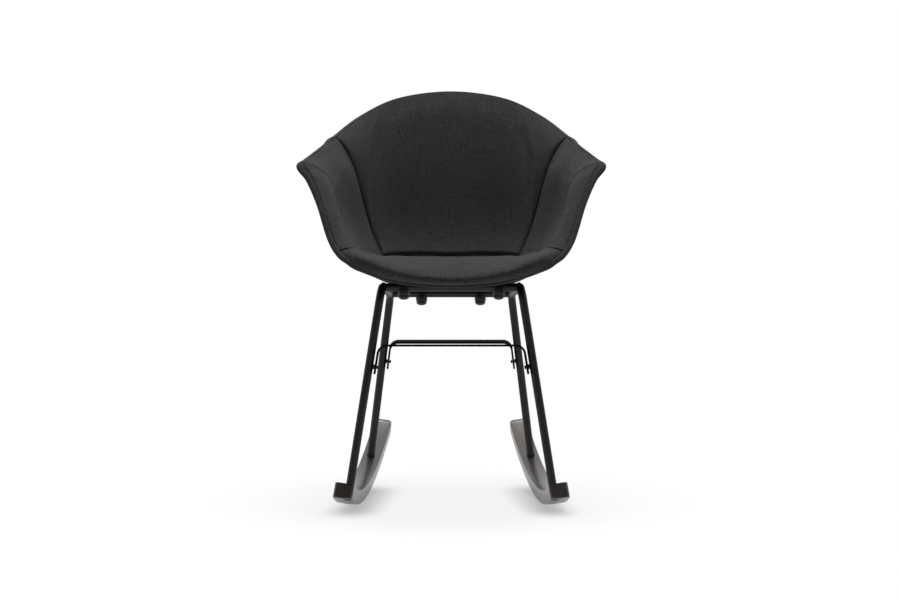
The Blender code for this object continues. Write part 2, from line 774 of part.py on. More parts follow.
# Straps between the legs, each end on a screw into a flanged rivet nut.
for end, height in (("front", FRONT_STRAP_HEIGHT), ("rear", REAR_STRAP_HEIGHT)):
    keep = TUBE / 2 + STRAP_STANDOFF + STRAP / 2
    ends = {}
    for name, side in SIDES:
        top, foot, down = legs[end, name]
        inward = Vector((-side, 0, 0))
        inward = (inward - down * inward.dot(down)).normalized()
        crown = top + down * ((top.z - height) / -down.z)
        ends[name] = (crown, down, inward)
    corners = [crown + inward * keep for crown, down, inward in ends.values()]
    tabs = [corner + ends[name][1] * STRAP_TAB for corner, name in zip(corners, ends)]
    strap = strap_bar(f"{end}_strap", [tabs[0], *corners, tabs[1]], ends["right"][1])
    for name, (crown, down, inward) in ends.items():
        label = f"{end}_{name}"
        axis = crown + down * STRAP_SCREW
        grip = STRAP_BOLT / 2 + NUT_WALL
        bore = STRAP_BOLT / 2 + FIT
        drill(strap, f"{label}_strap_hole", axis, axis + inward * 2 * keep, bore, SMALL_ROUND)
        drill(frames[name], f"{label}_nut_hole", axis, axis + inward * TUBE, grip + FIT)
        near, far = TUBE / 2 + FIT, TUBE / 2 + STRAP_STANDOFF - FIT
        flange = grip + NUT_FLANGE
        profile = [
            (bore, far), (flange, far), (flange, near), (grip, near), (grip, SOFT_EDGE), (bore, SOFT_EDGE),
        ]
        turned(f"{label}_rivet_nut", axis, inward, profile, ZINC, SMALL_ROUND)
        seat = keep + STRAP / 2 + FIT
        bolt(f"{label}_strap_screw", axis + inward * seat, -inward, STRAP_BOLT, seat - 2 * SOFT_EDGE)

# The origin is under the middle of the chair.
front_end = min(v.co.y for v in seat_pad.data.vertices)
rear_end = max(v.co.y for v in bar.data.vertices)
origin.location.y = -(front_end + rear_end) / 2
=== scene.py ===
import json
import math
import bpy
import numpy as np
from mathutils import Matrix, Vector


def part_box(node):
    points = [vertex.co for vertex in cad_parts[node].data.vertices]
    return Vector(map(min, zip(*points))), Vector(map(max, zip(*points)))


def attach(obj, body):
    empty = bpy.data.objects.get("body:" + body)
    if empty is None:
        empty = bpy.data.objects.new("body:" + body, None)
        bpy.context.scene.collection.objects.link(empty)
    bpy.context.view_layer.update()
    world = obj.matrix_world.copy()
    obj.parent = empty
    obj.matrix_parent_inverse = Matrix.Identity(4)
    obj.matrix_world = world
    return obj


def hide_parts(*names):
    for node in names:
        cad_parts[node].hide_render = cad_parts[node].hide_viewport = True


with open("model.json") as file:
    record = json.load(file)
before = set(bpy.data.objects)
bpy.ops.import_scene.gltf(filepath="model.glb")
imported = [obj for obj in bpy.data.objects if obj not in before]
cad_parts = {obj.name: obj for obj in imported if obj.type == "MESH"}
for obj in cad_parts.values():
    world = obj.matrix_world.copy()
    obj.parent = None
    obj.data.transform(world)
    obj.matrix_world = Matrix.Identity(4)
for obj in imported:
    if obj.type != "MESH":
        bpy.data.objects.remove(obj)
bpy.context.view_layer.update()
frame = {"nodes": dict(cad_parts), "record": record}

nodes = frame["nodes"]
scene = bpy.context.scene
print("frame loaded with", len(nodes), "nodes")


# small helpers for the hand work

def mode(name):
    bpy.ops.object.mode_set(mode=name)


def pickNone():
    if bpy.context.object and bpy.context.object.mode != "OBJECT":
        mode("OBJECT")
    bpy.ops.object.select_all(action="DESELECT")


def pick(piece):
    pickNone()
    piece.select_set(True)
    bpy.context.view_layer.objects.active = piece


def named(name):  # the primitive that was just added
    piece = bpy.context.object
    piece.name = name
    piece.data.name = name
    return piece


def readAll(items, key, wide, kind=float):
    flat = np.zeros(len(items) * wide, dtype=kind)
    items.foreach_get(key, flat)
    return flat.reshape(-1, wide) if wide > 1 else flat


def readPoints(piece):
    return readAll(piece.data.vertices, "co", 3)


def faceCorners(mesh):  # the vertex of each face corner
    return readAll(mesh.loops, "vertex_index", 1, np.int32)


def faceSizes(mesh):  # the number of corners of each face
    return readAll(mesh.polygons, "loop_total", 1, np.int32)


def writePoints(piece, points):
    piece.data.vertices.foreach_set("co", np.ascontiguousarray(points, dtype=np.float32).ravel())
    piece.data.update()


def applyAll(piece):
    pick(piece)
    for modifier in list(piece.modifiers):
        bpy.ops.object.modifier_apply(modifier=modifier.name)


def settle(piece):  # place into the mesh, object back at the origin
    pick(piece)
    bpy.ops.object.transform_apply(location=True, rotation=True, scale=True)


def cleanUp(piece, merge=1e-5):
    pick(piece)
    mode("EDIT")
    bpy.ops.mesh.select_all(action="SELECT")
    bpy.ops.mesh.remove_doubles(threshold=merge)
    bpy.ops.mesh.normals_make_consistent(inside=False)
    mode("OBJECT")


def smooth(piece, degrees=35):
    pick(piece)
    bpy.ops.object.shade_smooth_by_angle(angle=math.radians(degrees))


def stand(piece, place, axis):  # turn a piece's own Z along axis and set it at place
    turn = Vector(axis).to_track_quat("Z", "Y").to_matrix().to_4x4()
    piece.matrix_world = Matrix.Translation(place) @ turn
    settle(piece)


def joinInto(piece, others):
    pick(piece)
    for other in others:
        other.select_set(True)
    bpy.ops.object.join()


def dress(piece, finish, slot, *stood):  # one finish all over, on the only body, in place of a CAD node
    piece.data.materials.clear()
    piece.data.materials.append(finish)
    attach(piece, "root")
    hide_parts(*stood)


def bell(value, place, width, power=2):
    return np.exp(-(((value - place) / width) ** power))


def ramp(value, low, high):  # none at low, one at high
    return np.clip((value - low) / (high - low), 0, 1)


def eased(value, low, high):
    share = ramp(value, low, high)
    return share * share * (3 - 2 * share)


def tent(value, place, reach):
    return np.clip(1 - np.abs(value - place) / reach, 0, 1)


# camera at the photo's place: a long lens, nearly level

cameraFacts = {"place": (-0.014, -4.6114, 0.6875), "lens": 92.05, "sensor": 36, "farthest": 60,
               "tiltDown": 3.5126, "turn": -0.147}

bpy.ops.object.camera_add(location=cameraFacts["place"])
camera = bpy.context.object
camera.data.lens = cameraFacts["lens"]
camera.data.sensor_width = cameraFacts["sensor"]
camera.data.clip_end = cameraFacts["farthest"]
camera.rotation_euler = (math.radians(90 - cameraFacts["tiltDown"]), 0, math.radians(cameraFacts["turn"]))
scene.camera = camera
print("camera set")


# shader maths

def mathsOf(operation, swapped=False):
    def method(self, *others):
        return self.maths(operation, *others, self) if swapped else self.maths(operation, self, *others)
    return method


class Wire:  # one socket, with sums written as sums
    def __init__(self, tree, socket):
        self.tree = tree
        self.socket = socket

    def maths(self, operation, *values):
        node = self.tree.nodes.new("ShaderNodeMath")
        node.operation = operation
        for socket, value in zip(node.inputs, values):
            feed(self.tree, socket, value)
        return Wire(self.tree, node.outputs[0])

    __add__, __radd__ = mathsOf("ADD"), mathsOf("ADD", True)
    __sub__, __rsub__ = mathsOf("SUBTRACT"), mathsOf("SUBTRACT", True)
    __mul__, __rmul__ = mathsOf("MULTIPLY"), mathsOf("MULTIPLY", True)
    __truediv__, __abs__ = mathsOf("DIVIDE"), mathsOf("ABSOLUTE")
    sine, floor, modulo = mathsOf("SINE"), mathsOf("FLOOR"), mathsOf("MODULO")
    least, most = mathsOf("MINIMUM"), mathsOf("MAXIMUM")

    def root(self):
        return self.maths("SQRT", self.most(0.0))


def feed(tree, socket, value):
    if isinstance(value, Wire):
        tree.links.new(value.socket, socket)
    else:
        socket.default_value = value


class Finish:  # a node material built up from values and links
    def __init__(self, name):
        self.material = bpy.data.materials.new(name)
        self.material.use_nodes = True
        self.tree = self.material.node_tree
        self.tree.nodes.clear()

    def node(self, kind, settings=None, sockets=None, out=0):
        made = self.tree.nodes.new("ShaderNode" + kind)
        for key, value in (settings or {}).items():
            setattr(made, key, value)
        for key, value in (sockets or {}).items():
            feed(self.tree, made.inputs[key], value)
        return Wire(self.tree, made.outputs[out])

    def objectPlace(self):
        return self.node("TexCoord", out="Object")

    def uvPlace(self, layer):
        return self.node("UVMap", {"uv_map": layer})

    def parts(self, vector):
        made = self.tree.nodes.new("ShaderNodeSeparateXYZ")
        feed(self.tree, made.inputs[0], vector)
        return [Wire(self.tree, made.outputs[k]) for k in range(3)]

    def joined(self, x, y, z):
        return self.node("CombineXYZ", sockets={"X": x, "Y": y, "Z": z})

    def scaled(self, vector, by):
        return self.node("VectorMath", {"operation": "MULTIPLY"}, {0: vector, 1: by})

    def noise(self, vector, scale, detail=2.0, roughness=0.5):
        sockets = {"Vector": vector, "Scale": scale, "Detail": detail, "Roughness": roughness}
        return self.node("TexNoise", sockets=sockets)

    def stretched(self, vector, by, detail=2.0, roughness=0.5):
        return self.noise(self.scaled(vector, (*by, 1.0)), 1.0, detail, roughness)

    def spread(self, value, low, high, newLow=0.0, newHigh=1.0):
        sockets = {"Value": value, "From Min": low, "From Max": high, "To Min": newLow, "To Max": newHigh}
        return self.node("MapRange", {"interpolation_type": "SMOOTHSTEP"}, sockets)

    def blend(self, share, one, two):
        return self.node("Mix", {"data_type": "RGBA"}, {0: share, 6: one, 7: two}, out=2)

    def bump(self, height, distance, strength=1.0, after=None):
        sockets = {"Height": height, "Distance": distance, "Strength": strength}
        if after is not None:
            sockets["Normal"] = after
        return self.node("Bump", {}, sockets)

    def shade(self, constants, **changing):
        shader = self.tree.nodes.new("ShaderNodeBsdfPrincipled")
        for key, value in constants.items():
            shader.inputs[key].default_value = value
        for key, value in changing.items():
            feed(self.tree, shader.inputs[key.replace("_", " ")], value)
        output = self.tree.nodes.new("ShaderNodeOutputMaterial")
        self.tree.links.new(shader.outputs[0], output.inputs[0])
        return self.material


# charcoal melange cloth: plain weave on the cloth's own UV map, in metres

clothFacts = {"thread": 0.0011, "dark": (0.030, 0.0285, 0.030, 1), "light": (0.098, 0.093, 0.097, 1),
              "toneStep": 0.73, "toneRun": 22, "streak": (520.0, 190.0), "crossStreak": (190.0, 520.0),
              "mottle": 330.0,
              "mix": (0.34, 0.20, 0.20, 0.26), "mixRange": (0.36, 0.64), "high": 0.00035,
              # the seam colour is near black: the sewn line plus painted shade for its groove
              "stitchAndGrooveShade": (0.008, 0.0075, 0.008, 1), "stitchAndGrooveShadeShare": 0.72, "stitchDeep": 0.0016,
              "shader": {"Specular IOR Level": 0.25, "Sheen Weight": 0.14, "Sheen Roughness": 0.55,
                         "Sheen Tint": (0.75, 0.73, 0.76, 1)}}


def makeCloth(name, seamLine=None):
    cloth = Finish(name)
    uv = cloth.uvPlace("cloth")
    u, v = cloth.parts(uv)[:2]
    across = u / clothFacts["thread"]
    up = v / clothFacts["thread"]
    over = abs((across.floor() + up.floor()).modulo(2.0))
    weave = over * abs((across * math.pi).sine()) + (1 - over) * abs((up * math.pi).sine())
    # each thread has its own tone, which changes slowly along it
    step, run = clothFacts["toneStep"], clothFacts["toneRun"]
    warpTone = cloth.noise(cloth.joined(across.floor() * step, v * run, 0.0), 1.0)
    weftTone = cloth.noise(cloth.joined(u * run, up.floor() * step, 7.0), 1.0)
    tone = over * warpTone + (1 - over) * weftTone
    streak = cloth.stretched(uv, clothFacts["streak"])
    crossStreak = cloth.stretched(uv, clothFacts["crossStreak"])
    mottle = cloth.noise(cloth.objectPlace(), clothFacts["mottle"], 2.0, 0.6)
    one, two, three, four = clothFacts["mix"]
    mixed = tone * one + streak * two + crossStreak * three + mottle * four
    colour = cloth.blend(cloth.spread(mixed, *clothFacts["mixRange"]), clothFacts["dark"], clothFacts["light"])
    normal = cloth.bump(weave * 0.8 + tone * 0.4, clothFacts["high"], 0.7)
    if seamLine:
        seam = seamLine(cloth)
        # painted shade: the sewn line is darkened to near black for the shade in its groove, besides its bump
        colour = cloth.blend(seam * clothFacts["stitchAndGrooveShadeShare"], colour, clothFacts["stitchAndGrooveShade"])
        normal = cloth.bump(1 - seam, clothFacts["stitchDeep"], 1.0, normal)
    roughness = cloth.spread(weave, 0.0, 1.0, 0.98, 0.86)
    return cloth.shade(clothFacts["shader"], Base_Color=colour, Roughness=roughness, Normal=normal)


seamFacts = {"place": 3.42, "bow": 1.4, "top": 0.72, "halfWidth": 0.030}


def seamArc(cloth):  # a sewn line across each end of the seat, bowed along the lip, where the cloth is painted darker for the shade in its groove
    u, v = cloth.parts(cloth.uvPlace("place"))[:2]
    fromTop = v - seamFacts["top"]
    middle = seamFacts["place"] - seamFacts["bow"] * fromTop * fromTop
    return cloth.spread(abs(abs(u) - middle), seamFacts["halfWidth"] * 0.4, seamFacts["halfWidth"], 1.0, 0.0)


# black powder coat with a fine orange peel

coatFacts = {"black": (0.0085, 0.0085, 0.0088, 1), "worn": (0.016, 0.016, 0.0165, 1),
             "peel": 900.0, "drift": 34.0, "speck": 2600.0, "high": 0.00012}


def makeCoat(name, roughLow, roughHigh, specular):
    coat = Finish(name)
    place = coat.objectPlace()
    drift = coat.noise(place, coatFacts["drift"], 3.0)
    speck = coat.spread(coat.noise(place, coatFacts["speck"], 1.0), 0.70, 0.78)
    share = coat.spread(drift, 0.35, 0.70) * 0.6 + speck * 0.4
    colour = coat.blend(share, coatFacts["black"], coatFacts["worn"])
    roughness = coat.spread(drift, 0.3, 0.7, roughLow, roughHigh) + speck * 0.12
    normal = coat.bump(coat.noise(place, coatFacts["peel"]), coatFacts["high"], 0.5)
    return coat.shade({"Specular IOR Level": specular}, Base_Color=colour, Roughness=roughness, Normal=normal)


# dark stained ash for the rockers, with the grain along the bend

woodFacts = {"stain": (0.030, 0.0265, 0.0255, 1), "early": (0.066, 0.058, 0.054, 1),
             "pore": (0.010, 0.0088, 0.0083, 1),
             "sway": (5.0, 30.0), "ringsAlong": 3.5, "ringsAround": 340, "swing": 6, "fibre": (70.0, 2600.0),
             "pores": (110.0, 1900.0), "patch": (11.0, 30.0), "high": 0.00016,
             "shader": {"Specular IOR Level": 0.6, "Specular Tint": (1.0, 0.88, 0.82, 1),
                        "Coat Roughness": 0.22}}


def makeWood():
    wood = Finish("stainedAsh")
    uv = wood.uvPlace("grain")  # x along the bend, y round the section, both in metres
    along, around, depth = wood.parts(uv)
    bent = around * woodFacts["ringsAround"] + wood.stretched(uv, woodFacts["sway"]) * woodFacts["swing"]
    rings = wood.noise(wood.joined(along * woodFacts["ringsAlong"], bent, depth), 1.0, 3.0, 0.6)
    fibre = wood.stretched(uv, woodFacts["fibre"], 2.0, 0.6)
    pores = wood.spread(wood.stretched(uv, woodFacts["pores"], 1.0), 0.60, 0.70)
    patch = wood.stretched(uv, woodFacts["patch"])
    share = wood.spread(rings * 0.6 + fibre * 0.3 + patch * 0.25, 0.40, 0.72)
    colour = wood.blend(share, woodFacts["stain"], woodFacts["early"])
    colour = wood.blend(pores * 0.7, colour, woodFacts["pore"])
    roughness = wood.spread(fibre, 0.3, 0.7, 0.34, 0.44) + pores * 0.15
    normal = wood.bump(fibre * 0.5 - pores, woodFacts["high"], 0.6)
    return wood.shade(woodFacts["shader"], Base_Color=colour, Roughness=roughness,
                      Coat_Weight=wood.spread(fibre, 0.2, 0.8, 0.52, 0.40), Normal=normal)


# plain finishes of two close tones

def makePlain(name, colour, second, scale, roughLow, roughHigh, grain, metallic=0.0):
    plain = Finish(name)
    place = plain.objectPlace()
    cloud = plain.noise(place, scale, 3.0)
    fine = plain.noise(place, scale * 18, 2.0)
    tone = plain.blend(plain.spread(cloud, 0.3, 0.7), (*colour, 1), (*second, 1))
    roughness = plain.spread(cloud * 0.5 + fine * 0.5, 0.3, 0.7, roughLow, roughHigh)
    normal = plain.bump(fine, grain, 0.5)
    constants = {"Metallic": metallic, "Specular IOR Level": 0.5}
    return plain.shade(constants, Base_Color=tone, Roughness=roughness, Normal=normal)


clothPlain = makeCloth("charcoalCloth")
clothSeat = makeCloth("charcoalClothSeat", seamArc)
powderCoat = makeCoat("satinPowderCoat", 0.46, 0.56, 0.4)
mattCoat = makeCoat("mattPowderCoat", 0.84, 0.92, 0.08)
stainedAsh = makeWood()
nylon = makePlain("blackNylon", (0.012, 0.012, 0.0125), (0.019, 0.019, 0.0195), 60.0, 0.42, 0.56, 0.00006)
shellPlastic = makePlain("blackShell", (0.018, 0.018, 0.019), (0.026, 0.026, 0.027), 40.0, 0.48, 0.62, 0.00008)
zinc = makePlain("zincPlate", (0.46, 0.46, 0.47), (0.58, 0.575, 0.56), 220.0, 0.28, 0.42, 0.00002, 1.0)
blackOxide = makePlain("blackOxide", (0.016, 0.016, 0.017), (0.024, 0.024, 0.025),
                       260.0, 0.36, 0.50, 0.00002, 0.6)
brass = makePlain("turnedBrass", (0.66, 0.46, 0.19), (0.76, 0.55, 0.25), 300.0, 0.26, 0.38, 0.00002, 1.0)
print("finishes made")


# the bucket's form: fifteen profiles from front centre to back centre, as shares of span, depth and rise

bucketFacts = {
    "span": 0.600, "depth": 0.542, "rise": 0.390, "datum": 0.440, "forward": 0.034, "rim": 0.008,
    "railPlace": -0.130,
    "pole": (0.000, 0.000, 0.018), "nearPole": 0.5, "nearPoleRise": 0.35,
    "corner": 4, "shoulder": 11, "turnLength": 0.036, "wall": 0.005, "cover": 0.003, "air": 0.0005,
    "seatEdge": [0.62, 0.60, 0.57, 0.54, 0.50, 0.50, 0.50, 0.50, 0.49, 0.49, 0.48, 0.475, 0.47, 0.47, 0.47],
    "rows": [
        ((0.000, -0.483, 0.015), (0.000, -0.483, 0.090), (0.000, -0.400, 0.095)),
        ((0.334, -0.476, 0.036), (0.308, -0.469, 0.098), (0.300, -0.390, 0.100)),
        ((0.580, -0.435, 0.098), (0.530, -0.414, 0.138), (0.500, -0.355, 0.104)),
        ((0.665, -0.410, 0.141), (0.600, -0.381, 0.150), (0.585, -0.325, 0.095)),
        ((0.726, -0.378, 0.182), (0.645, -0.353, 0.160), (0.640, -0.290, 0.080)),
        ((0.786, -0.328, 0.266), (0.690, -0.305, 0.203), (0.690, -0.240, 0.052)),
        ((0.855, -0.258, 0.428), (0.718, -0.235, 0.300), (0.735, -0.175, 0.016)),
        ((0.930, -0.199, 0.546), (0.737, -0.175, 0.400), (0.765, -0.110, -0.014)),
        ((0.992, -0.157, 0.604), (0.750, -0.125, 0.445), (0.770, -0.060, -0.034)),
        ((0.964, -0.095, 0.629), (0.750, -0.065, 0.470), (0.765, -0.005, -0.050)),
        ((0.868, 0.025, 0.692), (0.715, 0.080, 0.500), (0.730, 0.140, -0.090)),
        ((0.794, 0.160, 0.749), (0.590, 0.230, 0.520), (0.580, 0.300, -0.133)),
        ((0.615, 0.350, 0.865), (0.445, 0.357, 0.520), (0.410, 0.365, -0.140)),
        ((0.364, 0.464, 0.960), (0.250, 0.420, 0.500), (0.230, 0.388, -0.145)),
        ((0.000, 0.517, 0.997), (0.000, 0.434, 0.470), (0.000, 0.395, -0.145)),
    ],
}
lowRail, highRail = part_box("front_rail")
# the frame's origin against the profiles' own
chairShift = (lowRail.y + highRail.y) / 2 - bucketFacts["railPlace"]
half = len(bucketFacts["rows"]) - 1  # the back centre; the left half runs on to twice that


def bucketPlace(share):
    return np.array([share[0] * bucketFacts["span"] / 2,
                     share[1] * bucketFacts["depth"] - bucketFacts["forward"] + chairShift,
                     bucketFacts["datum"] + share[2] * bucketFacts["rise"]])


def withMirrors(rows):
    flip = np.array([-1, 1, 1])
    return np.array([rows[1] * flip] + list(rows) + [rows[-2] * flip])


bucketKeys = [withMirrors([bucketPlace(row[k]) for row in bucketFacts["rows"]]) for k in range(3)]
edgeList = bucketFacts["seatEdge"]
seatEdgeKeys = np.array([[edgeList[1]]] + [[e] for e in edgeList] + [[edgeList[-2]]])


def alongRows(keys, t):
    i = np.clip(t.astype(int), 0, half - 1)
    s = (t - i)[:, None]
    a, b, c, d = keys[i], keys[i + 1], keys[i + 2], keys[i + 3]
    return b + 0.5 * s * (c - a + s * (2 * a - 5 * b + 4 * c - d + s * (3 * (b - c) + d - a)))


def halfBucket(t, r):
    edge, wall, corner = [alongRows(keys, t) for keys in bucketKeys]
    pole = bucketPlace(bucketFacts["pole"])
    run = edge - wall
    edge = edge - run * bucketFacts["rim"] / np.linalg.norm(run, axis=1)[:, None]
    near = pole + bucketFacts["nearPole"] * (corner - pole)
    near[:, 2] = pole[2] + bucketFacts["nearPoleRise"] * (corner[:, 2] - pole[2])
    r = r[:, None]
    q = 1 - r
    return q**4 * pole + 4 * q**3 * r * near + 6 * q * q * r * r * corner + 4 * q * r**3 * wall + r**4 * edge


def foldTurn(t):  # any turn to the right half, with the side it came from
    t = np.mod(t, 2 * half)
    side = np.where(t > half, -1.0, 1.0)
    return np.where(t > half, 2 * half - t, t), side


def bucketPoint(t, r):
    t, side = foldTurn(t)
    points = halfBucket(t, r)
    points[:, 0] *= side
    return points


def bucketNormal(t, r):
    step = 1e-3
    r = np.clip(r, 0.02, 1 - step)
    across = bucketPoint(t + step, r) - bucketPoint(t - step, r)
    out = bucketPoint(t, r + step) - bucketPoint(t, r - step)
    normal = np.cross(out, across)
    return normal / np.linalg.norm(normal, axis=1)[:, None]


def edgeOut(t):  # the way the shell runs on at its edge
    one = np.ones(len(t))
    out = bucketPoint(t, one) - bucketPoint(t, 0.995 * one)
    return out / np.linalg.norm(out, axis=1)[:, None]


def seatEdge(t):
    t, side = foldTurn(t)
    return alongRows(seatEdgeKeys, t)[:, 0]


def addGrid(name, columns, rows):  # a primitive grid and each point's two shares
    pickNone()
    bpy.ops.mesh.primitive_grid_add(x_subdivisions=columns, y_subdivisions=rows, size=2)
    piece = named(name)
    flat = readPoints(piece)
    return piece, np.round((flat[:, 0] + 1) / 2, 6), np.round((flat[:, 1] + 1) / 2, 6)


def dropUv(piece):
    for layer in list(piece.data.uv_layers):
        piece.data.uv_layers.remove(layer)


def layUv(piece, layer, u, v):
    mesh = piece.data
    corners = faceCorners(mesh)
    pairs = np.stack([u[corners], v[corners]], axis=1).astype(np.float32)
    mesh.uv_layers.new(name=layer).data.foreach_set("uv", pairs.ravel())


def runLength(points):  # length along a row of points, from its first
    steps = np.linalg.norm(np.diff(points, axis=0), axis=1)
    return np.concatenate([[0.0], np.cumsum(steps)])


def clothUv(piece, t, r, tRange, rMiddle):  # metres along the rim and metres up the profile
    tLine = np.linspace(tRange[0], tRange[1], 400)
    along = runLength(bucketPoint(tLine, np.full(400, rMiddle)))
    along = along - along[-1] / 2
    u = np.interp(t, tLine, along)
    rLine = np.linspace(0.0, 1.0, 200)
    tMiddle = np.full(200, (tRange[0] + tRange[1]) / 2)
    up = runLength(bucketPoint(tMiddle, rLine))
    v = np.interp(r, rLine, up)
    dropUv(piece)
    layUv(piece, "cloth", u, v)


def crest(distance, width):  # quarter-round rise away from a seam
    near = np.clip(distance / width, 0, 1)
    return np.sqrt(np.clip(1 - (1 - near) ** 2, 0, 1))


def thicken(piece, base, normal, low, high):  # a closed pad between two heights over the shell
    high, low = [np.full(len(base), height)[:, None] for height in (high, low)]
    writePoints(piece, base)
    shell = piece.modifiers.new("fill", "SOLIDIFY")
    shell.thickness = 0.01
    shell.offset = -1
    applyAll(piece)
    writePoints(piece, np.concatenate([base + normal * high, base + normal * low]))
    cleanUp(piece, 1e-7)


pullFacts = {"quality": 6, "mass": 0.25, "tension_stiffness": 18, "compression_stiffness": 18,
             "shear_stiffness": 9, "bending_stiffness": 1.2, "pin_stiffness": 1.0,
             "uniform_pressure_force": 3.0}
pullFrames = 20


def swellCloth(piece, pinned, cap):  # cloth pulled over foam: the free side swells between its seams
    before = readPoints(piece)
    group = piece.vertex_groups.new(name="sewn")
    group.add([int(k) for k in np.nonzero(pinned)[0]], 1.0, "REPLACE")
    cloth = piece.modifiers.new("stretch", "CLOTH")
    for key, value in pullFacts.items():
        setattr(cloth.settings, key, value)
    cloth.settings.vertex_group_mass = "sewn"
    cloth.settings.use_pressure = True
    cloth.settings.effector_weights.gravity = 0
    cloth.collision_settings.use_collision = False
    cloth.point_cache.frame_start = 1
    cloth.point_cache.frame_end = pullFrames
    for step in range(1, pullFrames + 1):
        scene.frame_set(step)
    applyAll(piece)
    piece.vertex_groups.clear()
    move = readPoints(piece) - before
    length = np.linalg.norm(move, axis=1)
    keep = np.where(length > 1e-9, cap * np.tanh(length / cap) / np.maximum(length, 1e-9), 0.0)
    writePoints(piece, before + move * keep[:, None])
    scene.frame_set(1)
    print("swelled", piece.name, "by up to", round(float((length * keep).max()) * 1000, 1), "mm")


def roundOff(piece):
    sub = piece.modifiers.new("soft", "SUBSURF")
    sub.levels = 1
    sub.render_levels = 1
    applyAll(piece)
    pick(piece)
    bpy.ops.object.shade_smooth()


# how high the seat cushion stands over the shell

seatFacts = {
    "cells": 64, "lipCells": 28, "pad": 0.028, "edge": 0.028, "fill": 0.012, "fillPower": 1.5, "least": 0.003,
    "fade": 3.0, "endFrom": 0.8, "footGap": 0.002, "seamDrop": 0.010, "roll": 0.016, "creaseRun": 0.42,
    "endDrop": 0.0014, "endRoll": 0.004, "endRun": 0.045, "hang": 1.2, "hangPlace": 1.9, "hangWidth": 0.8,
    "lipCloth": 0.085, "cap": 0.0015,
    "slopePlaces": [0.0, 0.1, 0.2, 0.3, 0.4, 0.5, 0.6, 0.7, 0.8, 0.88, 0.95, 1.0],
    "slopeHeights": [0.0280, 0.0255, 0.0232, 0.0212, 0.0197, 0.0188,
                     0.0188, 0.0201, 0.0236, 0.0288, 0.0250, 0.0050],
    "endHeights": [0.0140, 0.0165, 0.0195, 0.0225, 0.0248, 0.0260,
                   0.0255, 0.0232, 0.0190, 0.0150, 0.0105, 0.0045],
}


def seatHeight(t, inner, lip):  # inner runs to the seat's edge, lip from there over the front
    near, side = foldTurn(t)
    corner = bucketFacts["corner"]
    fade = ramp(near, corner + seatFacts["fade"], corner) ** 2
    edge = seatFacts["edge"] + (seatFacts["endHeights"][0] - seatFacts["edge"]) * fade
    behind = seatFacts["pad"] + (edge - seatFacts["pad"]) * inner**4
    # in the middle the front falls away in one even slope, towards the corners it is a roll along the rim
    towardsEnd = eased(near, seatFacts["endFrom"], corner) * inner**4
    slope = np.interp(lip, seatFacts["slopePlaces"], seatFacts["slopeHeights"])
    rolled = np.interp(lip, seatFacts["slopePlaces"], seatFacts["endHeights"])
    return np.where(near > corner, behind, slope + (rolled - slope) * towardsEnd)


# arm and back pads; a belly has a height, a place up the pad and a width

padFacts = {
    "middle": 0.8, "even": 0.18, "seam": 0.0010, "edge": 0.0045, "full": 0.0120,
    "crown": 0.0025, "crownFrom": 0.15,
    "seamRoll": 0.007, "seamNotch": 0.55, "rimRoll": 0.050, "footRoll": 0.030, "footLift": 0.02,
    "tuck": 0.040, "tuckRise": 0.020, "tuckHigh": 0.002, "overRim": 0.0035, "overFrom": 0.8,
    "backBelly": (0.012, 0.64, 0.34), "armBelly": (0.012, 0.74, 0.27), "bellyEnd": 0.35,
    "bellyTurns": (6.0, 8.5),
    "groove": 0.0014, "grooveRoll": 0.0030, "grooveTurns": (7.6, 8.5),
    "roll": 0.010, "rollPlace": 0.032, "rollWidth": 0.034, "rollTurns": (10.9, 8.0), "meet": 1.1,
    "welt": 0.0009, "weltPlace": 0.0045, "weltWidth": 0.0028, "cap": 0.0018,
}
armMiddle = (bucketFacts["corner"] + bucketFacts["shoulder"]) / 2
seamTurn = padFacts["seam"] / 2 / bucketFacts["turnLength"]


def crowded(share):  # rows close together near both seams
    even = padFacts["even"]
    return even * share + (1 - even) * (0.5 - 0.5 * np.cos(math.pi * share))


def overRim(share):  # the cloth of a pad runs on past the shell's edge to the bead
    return padFacts["overRim"] * ramp(share, padFacts["overFrom"], 1)


def fillPad(piece, base, normal, high, sewn, cap, finish, node):
    air = bucketFacts["air"]
    thicken(piece, base, normal, air, high + air)
    swellCloth(piece, np.concatenate([sewn, np.full(len(sewn), True)]), cap)
    roundOff(piece)
    dress(piece, finish, "upholstery_fabric", node)


